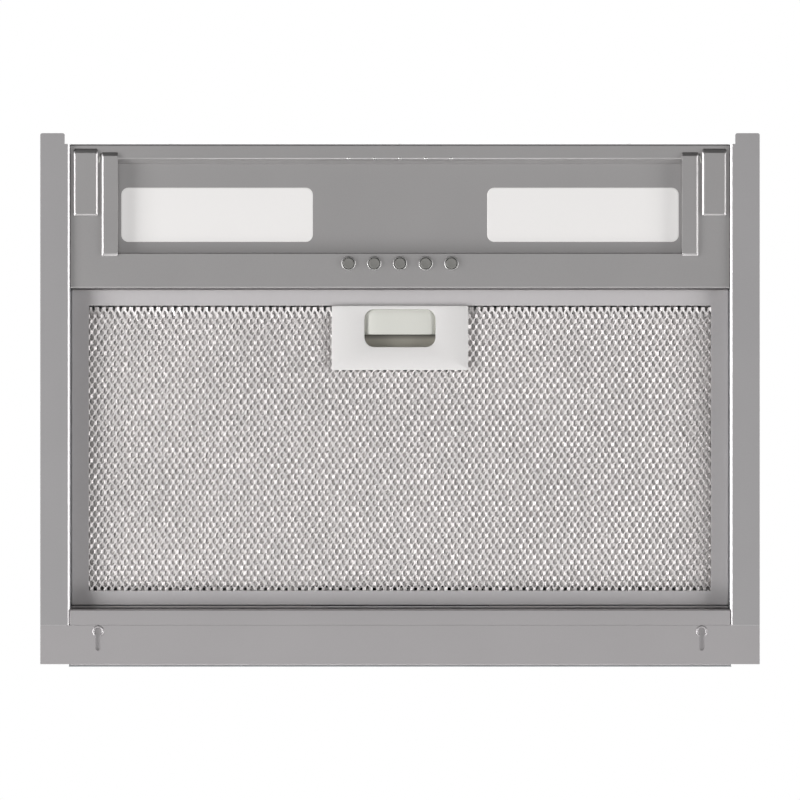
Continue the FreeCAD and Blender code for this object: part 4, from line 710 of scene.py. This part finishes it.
lattice = {"pitch": 2.535, "period": 7.97, "thick": 0.42, "bond": 0.3, "overlap": 0.08, "slant": 0.12, "unrest": 9.0}
netLayers = {
    "meshFront": {"z": 12.7, "along": "y", "tilt": 22.0, "width": 1.3},
    "meshCoreLow": {"z": 13.7, "along": "y", "tilt": -12.0, "width": 1.6, "shiftAlong": 2.6, "shiftAcross": 1.2},
    "meshCoreHigh": {"z": 15.0, "along": "y", "tilt": 14.0, "width": 1.6, "shiftAlong": 4.4, "shiftAcross": 0.5},
    "meshBack": {"z": 18.2, "along": "x", "tilt": -22.0, "width": 1.6, "shiftAlong": 3.0, "shiftAcross": 0.4},
}
netOutline = {"x": 234.5, "front": -71.7, "rear": 144.9, "wellX": 47.2, "wellRear": -25.6, "apart": 0.001}
chance = np.random.default_rng(7)


def strands(sides, start, end, z, along, tilt, width, originAlong, originAcross):
    # Strand k: across = k pitch + a s(t), height = z - b s(t), s a trapezoid wave of t; neighbours meet
    # where s is 1 and -1. The section is a bar that leans by the tilt, a little more or less at each bond.
    pitch, period, thick = lattice["pitch"], lattice["period"], lattice["thick"]
    lean = math.radians(tilt)
    reach = width * math.cos(lean)
    amplitude = (pitch - reach) / 2 + lattice["overlap"]
    rise = width * abs(math.sin(lean)) / 2 * math.copysign(1, tilt)
    k0, k1 = math.ceil((sides[0] - originAcross) / pitch), math.floor((sides[1] - originAcross) / pitch)
    k = np.arange(k0, k1 + 1)
    p0, p1 = math.ceil((start - originAlong) / period), math.floor((end - originAlong) / period)
    bond = lattice["bond"] / 2
    share = np.array([-bond, bond, 0.5 - bond, 0.5 + bond])
    level = np.array([1.0, 1.0, -1.0, -1.0])
    cycles = np.arange(p0, p1)
    t = (cycles[:, None] + share[None, :]).ravel() + bond
    s = np.tile(level, len(cycles))
    phase = np.where(k % 2 == 0, 1.0, -1.0)
    wave = phase[:, None] * s[None, :]
    across = originAcross + k[:, None] * pitch + amplitude * wave
    alongPos = np.repeat((originAlong + t * period)[None, :], len(k), 0)
    height = z - rise * wave
    corners = np.array([(-1, -1), (1, -1), (1, 1), (-1, 1)]) * np.array([width, thick]) / 2
    pairs = chance.normal(0, math.radians(lattice["unrest"]), (len(k), len(t) // 2))
    lean = lean + np.repeat(pairs, 2, axis=1)[:, :, None]
    du = corners[:, 0] * np.cos(lean) - corners[:, 1] * np.sin(lean)
    dz = corners[:, 0] * np.sin(lean) + corners[:, 1] * np.cos(lean)
    u = across[:, :, None] + du
    h = height[:, :, None] + dz
    v = alongPos[:, :, None] - lattice["slant"] * du
    points = np.stack([u, v, h], -1) if along == "y" else np.stack([v, u, h], -1)
    count, stations = len(k), len(t)
    points = points.reshape(-1, 3)
    one = gridFaces(stations, 4, closeColumns=True)
    caps = np.array([[3, 2, 1, 0], [stations * 4 - 4, stations * 4 - 3, stations * 4 - 2, stations * 4 - 1]])
    one = np.vstack([one, caps])
    if along == "y":
        one = one[:, ::-1]
    faces = (one[None, :, :] + (np.arange(count) * stations * 4)[:, None, None]).reshape(-1, 4)
    return points, faces


def joinedArrays(shapes):
    points, faces, count = [], [], 0
    for shapePoints, shapeFaces in shapes:
        points.append(shapePoints)
        faces.append(shapeFaces + count)
        count += len(shapePoints)
    return np.concatenate(points), np.concatenate(faces)


def netShape(z, along, tilt, width, shiftAlong=0.0, shiftAcross=0.0):
    # Three blocks of strands, which leave out the latch's well: (sides, start, end) across and along the strands.
    x, front, rearEdge, wellX, wellRear, apart = netOutline.values()
    if along == "y":
        blocks = [((-x, -wellX), front, rearEdge), ((-wellX + apart, wellX), wellRear, rearEdge),
                  ((wellX + apart, x), front, rearEdge)]
    else:
        blocks = [((front, wellRear), -x, -wellX), ((front, wellRear), wellX, x), ((wellRear + apart, rearEdge), -x, x)]
    return joinedArrays([strands(sides, start, end, z, along, tilt, width, shiftAlong, shiftAcross)
                         for sides, start, end in blocks])


def netPiece(name, nodes):
    points, faces = netShape(**netLayers[name])
    mesh = bpy.data.meshes.new(name)
    mesh.vertices.add(len(points))
    mesh.vertices.foreach_set("co", (points * millimetre).ravel())
    mesh.loops.add(faces.size)
    mesh.loops.foreach_set("vertex_index", faces.ravel().astype(np.int32))
    mesh.polygons.add(len(faces))
    mesh.polygons.foreach_set("loop_start", np.arange(0, faces.size, 4, dtype=np.int32))
    mesh.polygons.foreach_set("loop_total", np.full(len(faces), 4, dtype=np.int32))
    mesh.update()
    mesh.validate()
    print(name, "quads", len(faces))
    pieceFromMesh(name, mesh, "meshAluminium", "filter", nodes, sharp=30)


netPiece("meshFront", ["filter_mesh_front"])
netPiece("meshCoreLow", ["filter_mesh_core"])
netPiece("meshCoreHigh", ["filter_mesh_core"])
netPiece("meshBack", ["filter_mesh_back"])
print("filter made")


latch = {"half": 50.8, "front": -70.2, "rear": -22.3, "low": 9.4, "high": 11.0, "slotHalf": 26.5, "slotFront": -67.6,
         "slotRear": -39.4, "slotCorner": 7.4, "cupHalf": 46.5, "cupFront": -68.6, "cupRear": -26.3, "cupTop": 19.1,
         "gripEnd": -48.8, "gripCorner": 3.6, "gripGap": 0.12, "gripFloor": 9.8, "gripSides": 1.9, "gripFront": 0.8,
         "gripEdge": 0.15, "slideLow": 13.5, "slideHigh": 16.5, "slideHalf": 45.2, "slideFront": -67.3,
         "slideRear": -33.6}
gripShares = (0.997, 0.985, 0.96, 0.9, 0.8, 0.68, 0.55, 0.42, 0.3, 0.18, 0.08, 0.005)


def latchPlate():
    # A plate with a rounded window: outer rings down the side, across the face, and up the window.
    def outer(push, z):
        return roundedRing(-latch["half"] + push, latch["front"] + push, latch["half"] - push, latch["rear"] - push,
                           1.0 - push, z, 8)

    def window(push, z):
        return roundedRing(-latch["slotHalf"] - push, latch["slotFront"] - push, latch["slotHalf"] + push,
                           latch["slotRear"] + push, latch["slotCorner"] + push, z, 8)

    low, high = latch["low"], latch["high"]
    rings = [outer(0, high), outer(0, low + 0.3), outer(0.09, low + 0.09), outer(0.3, low)]
    rings += [window(0.35, low), window(0.12, low + 0.06), window(0, low + 0.3), window(0, high)]
    return loft(rings, closeRings=True)


def latchCup():
    # The four walls behind the plate, one sheet thick.
    half, front, rearEdge = latch["cupHalf"], latch["cupFront"], latch["cupRear"]
    rings = [roundedRing(-half + inset, front + inset, half - inset, rearEdge - inset, 0.6, z, 3)
             for inset, z in ((0, latch["high"]), (0, latch["cupTop"]), (1.0, latch["cupTop"]), (1.0, latch["high"]))]
    return loft(rings, closeRings=True)


piece("latchPlate", joined(latchPlate(), latchCup()), "lightPlastic", "filter", ["latch_plate"],
      sharp=50)


def gripPad():
    # Rings of the grip's outline drawn in to its middle: height = floor + a u^6 + b v^6, u and v from edge
    # to edge, the second only toward the front.
    x1, y0, y1 = latch["slotHalf"] - latch["gripGap"], latch["slotFront"] + latch["gripGap"], latch["gripEnd"]
    corner, bend = latch["slotCorner"], latch["gripCorner"]
    a = np.linspace(0, math.pi / 2, 10)
    frontLeft = np.stack([-x1 + corner - corner * np.cos(a), y0 + corner - corner * np.sin(a)], 1)
    frontRight = np.stack([x1 - corner + corner * np.sin(a), y0 + corner - corner * np.cos(a)], 1)
    rearRight = np.stack([x1 - bend + bend * np.cos(a), y1 - bend + bend * np.sin(a)], 1)
    rearLeft = np.stack([-x1 + bend - bend * np.sin(a), y1 - bend + bend * np.cos(a)], 1)
    front = np.column_stack([np.linspace(-x1 + corner, x1 - corner, 22), np.full(22, y0)])[1:-1]
    back = np.column_stack([np.linspace(x1 - bend, -x1 + bend, 22), np.full(22, y1)])[1:-1]
    outline = np.vstack([frontLeft, front, frontRight, rearRight, back, rearLeft])
    middle = np.array([0.0, (y0 + y1) / 2])
    half = (y1 - y0) / 2
    rings = [np.column_stack([outline, np.full(len(outline), z)]) for z in (latch["slideLow"] + 0.1, 10.5)]
    for share in gripShares:
        ring = middle + (outline - middle) * share
        u, v = ring[:, 0] / x1, (ring[:, 1] - middle[1]) / half
        z = latch["gripFloor"] + latch["gripSides"] * np.abs(u) ** 6 + latch["gripFront"] * np.minimum(v, 0) ** 6
        rings.append(np.column_stack([ring, z + latch["gripEdge"] * (share > 0.99)]))
    return loft(rings)


slidePlate = block(-latch["slideHalf"], latch["slideFront"], latch["slideLow"], latch["slideHalf"], latch["slideRear"],
                   latch["slideHigh"])
fingerWindow = block(-27.5, latch["gripEnd"], 12, 27.5, -38.6, 18)
springSlot = block(32.8, -49.6, 12, 39.2, -33, 18)
tongue = block(-8, -82.2, 14, 8, -67.2, 16, 0.6)
slideMesh = cutMesh(closedMesh("latchSlide", slidePlate), [fingerWindow, springSlot])
pieceFromMesh("latchSlide", slideMesh, "gripPlastic", "latch", ["latch_slide"], bevel=0.25)
piece("latchGrip", joined(gripPad(), tongue), "gripPlastic", "latch", ["latch_slide"], sharp=50)
print("latch made")


casing = {"half": 246.0, "front": -189.1, "rear": 198.1, "low": 6.0, "top": 61.0, "lid": 62.0, "corner": 1.6,
          "lipFront": 197.1, "lipLow": 1.0, "holeZ": 52.0, "holeY": 110.0, "holeRadius": 2.25}


def casingShape():
    # Four walls as one closed loop of sheet with rounded corners.
    rings = []
    for inset, z in ((0, casing["low"]), (0, casing["top"]), (1, casing["top"]), (1, casing["low"])):
        rings.append(roundedRing(-casing["half"] + inset, casing["front"] + inset, casing["half"] - inset,
                                 casing["rear"] - inset, casing["corner"] - inset, z, 6))
    return loft(rings, closeRings=True)


def sideHole(y, z, radius, x0, x1):
    a = np.linspace(0, 2 * math.pi, 24, endpoint=False)
    return loft([np.stack([np.full(24, x), y + radius * np.cos(a), z + radius * np.sin(a)], 1) for x in (x0, x1)])


casingLip = block(-casing["half"], casing["lipFront"], casing["lipLow"], casing["half"], casing["rear"],
                  casing["low"] + 0.2)
holes = [sideHole(y, casing["holeZ"], casing["holeRadius"], side * 243, side * 248)
         for side in (-1, 1) for y in (-casing["holeY"], casing["holeY"])]
casingMesh = cutMesh(closedMesh("lowerCasing", joined(casingShape(), casingLip)), holes)
pieceFromMesh("lowerCasing", casingMesh, "galvanised", "hood", ["lower_casing"], bevel=0.15)

housing = {"half": 170.0, "front": -39.9, "rear": 190.1, "low": 62.0, "top": 240.0, "foot": 12.0, "corner": 3.0,
           "fold": 2.0, "collarY": 88.1, "outlet": 73.0}


lid = {"half": 156.0, "front": -25.9, "rear": 176.1, "corner": 10.0, "glandX": -215.0, "glandY": -150.1,
       "glandRadius": 7.0}


def lidShape():
    # A flat ring between the casing's outline and the air opening.
    rings = [roundedRing(-casing["half"], casing["front"], casing["half"], casing["rear"], casing["corner"], z, 6)
             for z in (casing["top"], casing["lid"])]
    rings += [roundedRing(-lid["half"], lid["front"], lid["half"], lid["rear"], lid["corner"], z, 6)
              for z in (casing["lid"], casing["top"])]
    return loft(rings, closeRings=True)


glandHole = hole(lid["glandX"], lid["glandY"], casing["top"] - 1, casing["lid"] + 1, lid["glandRadius"])
lidMesh = cutMesh(closedMesh("trayTop", lidShape()), [glandHole])
pieceFromMesh("trayTop", lidMesh, "galvanised", "hood", ["tray_top"], bevel=0.15)


def housingShell():
    # Rings up the walls, over a rolled top edge and in to the round outlet.
    half, front, rearEdge = housing["half"], housing["front"], housing["rear"]
    corner, fold, top = housing["corner"], housing["fold"], housing["top"]

    def ring(push, z):
        return roundedRing(-half + push, front + push, half - push, rearEdge - push,
                           max(corner - push * 0.5, 0.4), z, 12)

    outer = [ring(0, housing["low"]), ring(0, top - fold)]
    outer += [ring(fold - fold * math.cos(b), top - fold + fold * math.sin(b))
              for b in np.linspace(0.2, math.pi / 2, 6)]
    outer.append(ring(fold + 1.5, top))
    flat = outer[-1]
    angle = np.arctan2(flat[:, 1] - housing["collarY"], flat[:, 0])
    circle = np.stack([housing["outlet"] * np.cos(angle), housing["collarY"] + housing["outlet"] * np.sin(angle),
                       np.full(len(flat), top)], 1)
    inner = [circle, circle - np.array([0, 0, sheetThickness])]
    inner += [ring(1.0 + fold * 0.6, top - 1.0), ring(1.0, top - fold), ring(1.0, housing["low"])]
    return loft(outer + inner, closeRings=True)


def footStrip(side):
    x0, x1 = sorted((side * housing["half"], side * (housing["half"] + housing["foot"])))
    return block(x0, housing["front"], housing["low"], x1, housing["rear"], housing["low"] + sheetThickness, 1.2)


piece("motorHousing", joined(housingShell(), footStrip(-1), footStrip(1)), "galvanised", "hood",
      ["motor_housing"], bevel=0.15)

collar = {"radius": 75.0, "wall": 2.0, "foot": 240.0, "footTop": 242.0, "top": 285.0, "flange": 87.0,
          "ledgeTop": 247.1, "ledge": 1.6, "ledgeWidth": 3.5, "beadHeights": (262.0, 272.0), "bead": 0.5,
          "beadWidth": 1.2}


def collarShape():
    # One loop profile: foot ring, wall with a tapered lip and two shallow beads, and the ledge inside.
    r, top, foot, flange = collar["radius"], collar["top"], collar["footTop"], collar["flange"]
    inner = r - collar["wall"]
    wall = np.linspace(foot + 1.2, top - 6, 40)
    first, second = (np.exp(-((wall - height) / collar["beadWidth"]) ** 2) for height in collar["beadHeights"])
    outside = np.stack([r - 0.5 + collar["bead"] * (first + second), wall], 1)
    ledgeIn, ledgeTop, ledgeLow = inner - collar["ledgeWidth"], collar["ledgeTop"], collar["ledgeTop"] - collar["ledge"]
    profile = [(inner, collar["foot"]), (flange - 0.4, collar["foot"]), (flange, collar["foot"] + 0.4),
               (flange, foot - 0.5), (flange - 0.5, foot), (r + 0.9, foot), (r + 0.2, foot + 0.3),
               (r - 0.4, foot + 0.9)]
    profile += outside.tolist()
    profile += [(r - 0.7, top - 3), (r - 1.3, top - 0.6), (r - 1.6, top), (inner + 0.2, top), (inner, top - 0.4),
                (inner, ledgeTop + 0.01), (ledgeIn, ledgeTop), (ledgeIn, ledgeLow), (inner, ledgeLow - 0.01)]
    return closedTurn(profile, (0, housing["collarY"], 0), count=128)


piece("outletCollar", collarShape(), "blackPlastic", "hood", ["outlet_collar"], sharp=40)
print("housing made")


fastener = {"head": 4.0, "headHeight": 2.4, "shank": 2.0, "length": 6.0, "recess": 1.4, "armHalf": 0.55,
            "armReach": 2.1}


def screwShape(place, axis):
    # Head height h(r, a): a flat dome less a cross-shaped recess, on a polar grid.
    sectors = 48
    head = fastener["head"]
    r = np.linspace(0.02, 1, 16)[:, None] * head
    a = np.linspace(0, 2 * math.pi, sectors, endpoint=False)[None, :]
    u, v = r * np.cos(a), r * np.sin(a)
    rim = np.clip(head - r, 0, 1)
    dome = fastener["headHeight"] * (0.45 + 0.55 * np.sqrt(1 - (1 - rim) ** 2))
    arm, reach = np.minimum(np.abs(u), np.abs(v)), np.maximum(np.abs(u), np.abs(v))
    recess = np.clip((fastener["armHalf"] - arm) / 0.15, 0, 1) * np.clip((fastener["armReach"] - reach) / 0.3, 0, 1)
    top = np.stack([u, v, dome - fastener["recess"] * recess], -1)
    edge = top[-1, :, :2]
    neck = edge * fastener["shank"] / head
    lower = [np.column_stack([ring, np.full(sectors, z)]) for ring, z in
             ((edge, 0.0), (neck, 0.0), (neck, -fastener["length"]))]
    points, faces = loft(list(top) + lower)
    if axis == "x":
        points = points[:, [2, 0, 1]] * np.array([-1.0, 1.0, 1.0])
        faces = [face[::-1] for face in faces]
    return points + np.asarray(place, float), faces


footX, collarRing, spiderRing = 176.0, 81.0, 59.0
screwPlaces = [((side * footX, -39.9 + 230 / 3 * step, 63), "z") for side in (-1, 1) for step in (0.5, 1.5, 2.5)]
screwPlaces += [((collarRing * math.cos(b), housing["collarY"] + collarRing * math.sin(b), 242), "z")
                for b in np.radians([45, 135, 225, 315])]
screwPlaces += [((-71.0, 75.1 + spiderRing * math.cos(b), 145 + spiderRing * math.sin(b)), "x")
                for b in np.radians([90, 210, 330])]
piece("screws", joined(*[screwShape(place, axis) for place, axis in screwPlaces]), "zincPlate", "hood",
      ["screws"], sharp=50)


rivet = {"head": 3.0, "dome": 1.2, "shank": 1.6, "grip": 2.0}


def rivetShape(place, direction):
    # A domed head each side of the sheets: (r, h) along a quarter of an ellipse.
    a = np.linspace(0, math.pi / 2, 7)
    head, dome, grip = rivet["head"], rivet["dome"], rivet["grip"]
    outer = np.stack([head * np.cos(a), dome * np.sin(a)], 1)
    tail = np.stack([head * np.sin(a), -grip - dome * np.cos(a)], 1)
    profile = np.vstack([outer[::-1], [(rivet["shank"], 0.0), (rivet["shank"], -grip), (head, -grip)], tail[::-1]])
    profile[:, 0] = np.maximum(profile[:, 0], 0.002)
    turn = np.linspace(0, 2 * math.pi, 28, endpoint=False)
    axis = np.asarray(direction, float)
    side = np.array([0.0, 0.0, 1.0])
    other = np.cross(axis, side)
    rings = [np.asarray(place, float) + axis * h + r * (np.cos(turn)[:, None] * side + np.sin(turn)[:, None] * other)
             for r, h in profile]
    return loft(rings)


rivetPlaces = [((side * 247, y, 37), (side, 0, 0)) for side in (-1, 1) for y in (-150.1, 0.0, 137.1)]
rivetPlaces += [((x, -190.1, 24), (0, -1, 0)) for x in (-171.0, 0.0, 171.0)]
piece("rivets", joined(*[rivetShape(place, direction) for place, direction in rivetPlaces]), "zincPlate", "hood",
      ["rivets"], sharp=60)
print("fasteners made")


latchCoil = {"x": 36.0, "front": -49.9, "z": 15.0, "length": 22.6, "radius": 1.7, "wire": 0.5, "turns": 9}
buttonCoil = {"low": 7.5, "length": 5.5, "radius": 2.25, "wire": 0.3, "turns": 3}


def coil(centre, axis, length, radius, wire, turns):
    # Round wire on a helix: centre + r (cos a, sin a) across, a / (2 pi) pitch along.
    steps = turns * 20
    a = np.linspace(0, 2 * math.pi * turns, steps + 1)
    along = np.linspace(wire, length - wire, steps + 1)
    path = np.stack([radius * np.cos(a), radius * np.sin(a), along], 1)
    tangent = np.gradient(path, axis=0)
    tangent /= np.linalg.norm(tangent, axis=1)[:, None]
    outward = np.stack([np.cos(a), np.sin(a), np.zeros_like(a)], 1)
    binormal = np.cross(tangent, outward)
    b = np.linspace(0, 2 * math.pi, 8, endpoint=False)[None, :, None]
    rings = path[:, None, :] + wire * (np.cos(b) * outward[:, None, :] + np.sin(b) * binormal[:, None, :])
    if axis == "y":
        rings = rings[..., [0, 2, 1]]
    return loft(list(rings + np.asarray(centre, float)))


def bendingSpring(name, shape, node):
    # The coil gets no body, and its place is baked into its mesh.
    spring = piece(name, shape, "springSteel", None, [node], sharp=60)
    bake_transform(spring)


values = latchCoil
start = np.array([values["x"], values["front"], values["z"]])
shape = coil(start, "y", values["length"], values["radius"], values["wire"], values["turns"])
bendingSpring("latchSpring", shape, "latch_spring")
values = buttonCoil
for index, x in enumerate(buttonX):
    number = str(index + 1)
    start = np.array([x, panel["buttonY"], values["low"]])
    shape = coil(start, "z", values["length"], values["radius"], values["wire"], values["turns"])
    bendingSpring("buttonSpring" + number, shape, "button_springs")
print("springs made")


kept = {
    "filter_pivot_studs": "zincPlate", "latch_back": "pocketPlasticPaintedShade", "lamp_housings": "whitePlastic",
    "led_boards": "circuitBoard", "led_chips": "ledPhosphor", "switch_block": "blackPlastic",
    "switch_board": "circuitBoard",
    "fan_scroll_right": "blackPlastic", "fan_scroll_left": "blackPlastic", "fan_wheel": "blackPlastic",
    "fan_blades": "blackPlastic", "motor_shaft": "springSteel", "motor_rotor": "darkSteel", "motor_body": "darkSteel",
    "motor_bushes": "sinteredBronze", "motor_windings": "enamelledCopper", "motor_spider": "galvanised",
    "motor_capacitor": "whitePlastic", "capacitor_clip": "zincPlate", "flap_pins": "zincPlate",
    "flap_front": "greyPlastic", "flap_rear": "greyPlastic", "control_box": "whitePlastic",
    "control_cover": "whitePlastic", "control_board": "circuitBoard",
    "led_driver": "whitePlastic", "cable_gland": "blackPlastic", "internal_leads": "leadSheath",
}
for nodeName, finish in kept.items():
    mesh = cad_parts[nodeName].data
    mesh.materials.clear()
    mesh.materials.append(material[finish])
print("kept nodes:", len(kept))


stage = {"floorZ": -7.0, "floorX": 12.0, "floorFront": -5.0, "floorRear": 14.0, "mirrored": 0.86}
lamps = {
    "left": {"place": (-2.6, 0.6, -1.1), "size": (3.4, 1.0), "power": 137.0},
    "right": {"place": (2.6, 0.6, -1.1), "size": (3.4, 1.0), "power": 84.0},
    "rear": {"place": (0.0, 2.3, -1.2), "size": (1.6, 0.5), "power": 12.0},
    "above": {"place": (0.8, -1.6, 2.2), "size": (3.4, 3.4), "power": 70.0},
}
ambientLight = {"above": 0.05, "toFront": 0.02, "toRear": 0.1}


def floorMaterial():
    made = bpy.data.materials.new("paleFloor")
    made.use_nodes = True
    nodes, links = made.node_tree.nodes, made.node_tree.links
    shader = nodes["Principled BSDF"]
    shader.inputs["Base Color"].default_value = (0.8, 0.8, 0.8, 1.0)
    shader.inputs["Roughness"].default_value = 0.9
    glow = nodes.new("ShaderNodeEmission")
    glow.inputs["Color"].default_value = (1.0, 1.0, 1.0, 1.0)
    path = nodes.new("ShaderNodeLightPath")
    seen = nodes.new("ShaderNodeMath")
    seen.operation = "MAXIMUM"
    mirrored = nodes.new("ShaderNodeMath")
    mirrored.operation = "MULTIPLY"
    mirrored.inputs[1].default_value = stage["mirrored"]
    mix = nodes.new("ShaderNodeMixShader")
    links.new(path.outputs["Is Glossy Ray"], mirrored.inputs[0])
    links.new(path.outputs["Is Camera Ray"], seen.inputs[0])
    links.new(mirrored.outputs["Value"], seen.inputs[1])
    links.new(seen.outputs["Value"], mix.inputs["Fac"])
    links.new(shader.outputs["BSDF"], mix.inputs[1])
    links.new(glow.outputs["Emission"], mix.inputs[2])
    links.new(mix.outputs["Shader"], nodes["Material Output"].inputs["Surface"])
    return made


floorMesh = bpy.data.meshes.new("floor")
floorMesh.from_pydata([(x, y, stage["floorZ"]) for x, y in (
    (-stage["floorX"], stage["floorFront"]), (stage["floorX"], stage["floorFront"]),
    (stage["floorX"], stage["floorRear"]), (-stage["floorX"], stage["floorRear"]))], [], [(0, 1, 2, 3)])
floorMesh.materials.append(floorMaterial())
linkedObject("floor", floorMesh)

world = bpy.data.worlds.new("studio")
scene.world = world
world.use_nodes = True
worldNodes, worldLinks = world.node_tree.nodes, world.node_tree.links
backdrop = worldNodes["Background"]
backdrop.inputs["Color"].default_value = (1.0, 1.0, 1.0, 1.0)
backdrop.inputs["Strength"].default_value = 1.0
ambient = worldNodes.new("ShaderNodeBackground")
ambient.inputs["Strength"].default_value = 1.0
direction = worldNodes.new("ShaderNodeTexCoord")
parts = worldNodes.new("ShaderNodeSeparateXYZ")
toRear = worldNodes.new("ShaderNodeMapRange")  # low toward the front edge, higher toward the rear edge
toRear.inputs["From Min"].default_value = -0.7
toRear.inputs["From Max"].default_value = 0.9
toRear.inputs["To Min"].default_value = ambientLight["toFront"]
toRear.inputs["To Max"].default_value = ambientLight["toRear"]
above = worldNodes.new("ShaderNodeMapRange")  # the upper half lights the top of the hood
above.inputs["From Min"].default_value = 0.0
above.inputs["From Max"].default_value = 0.25
above.inputs["To Min"].default_value = 0.0
above.inputs["To Max"].default_value = ambientLight["above"]
total = worldNodes.new("ShaderNodeMath")
total.operation = "MAXIMUM"
worldLinks.new(direction.outputs["Generated"], parts.inputs["Vector"])
worldLinks.new(parts.outputs["Y"], toRear.inputs["Value"])
worldLinks.new(parts.outputs["Z"], above.inputs["Value"])
worldLinks.new(toRear.outputs["Result"], total.inputs[0])
worldLinks.new(above.outputs["Result"], total.inputs[1])
worldLinks.new(total.outputs["Value"], ambient.inputs["Color"])
path = worldNodes.new("ShaderNodeLightPath")
seen = worldNodes.new("ShaderNodeMath")
seen.operation = "MAXIMUM"
mixWorld = worldNodes.new("ShaderNodeMixShader")
worldLinks.new(path.outputs["Is Camera Ray"], seen.inputs[0])
worldLinks.new(path.outputs["Is Transmission Ray"], seen.inputs[1])
worldLinks.new(seen.outputs["Value"], mixWorld.inputs["Fac"])
worldLinks.new(ambient.outputs["Background"], mixWorld.inputs[1])
worldLinks.new(backdrop.outputs["Background"], mixWorld.inputs[2])
worldLinks.new(mixWorld.outputs["Shader"], worldNodes["World Output"].inputs["Surface"])

for name, values in lamps.items():
    light = bpy.data.lights.new(name, "AREA")
    light.shape = "RECTANGLE"
    light.size, light.size_y = values["size"]
    light.energy = values["power"]
    lamp = linkedObject(name, light)
    lamp.location = values["place"]
    lamp.rotation_euler = (-Vector(values["place"])).to_track_quat("-Z", "Y").to_euler()  # faces the hood

view = {"lens": 250.0, "sensor": 36.0, "width": 0.5938}  # the picture's width at the flange, in metres
camera = linkedObject("camera", bpy.data.cameras.new("camera"))
camera.data.lens = view["lens"]
camera.data.sensor_width = view["sensor"]
camera.location = (0.0, 0.0, -view["width"] * view["lens"] / view["sensor"])
camera.rotation_euler = (math.pi, 0.0, 0.0)  # straight up from below
camera.data.clip_start, camera.data.clip_end = 0.1, 50.0
scene.camera = camera
scene.view_settings.view_transform = "Standard"
print("stage made")
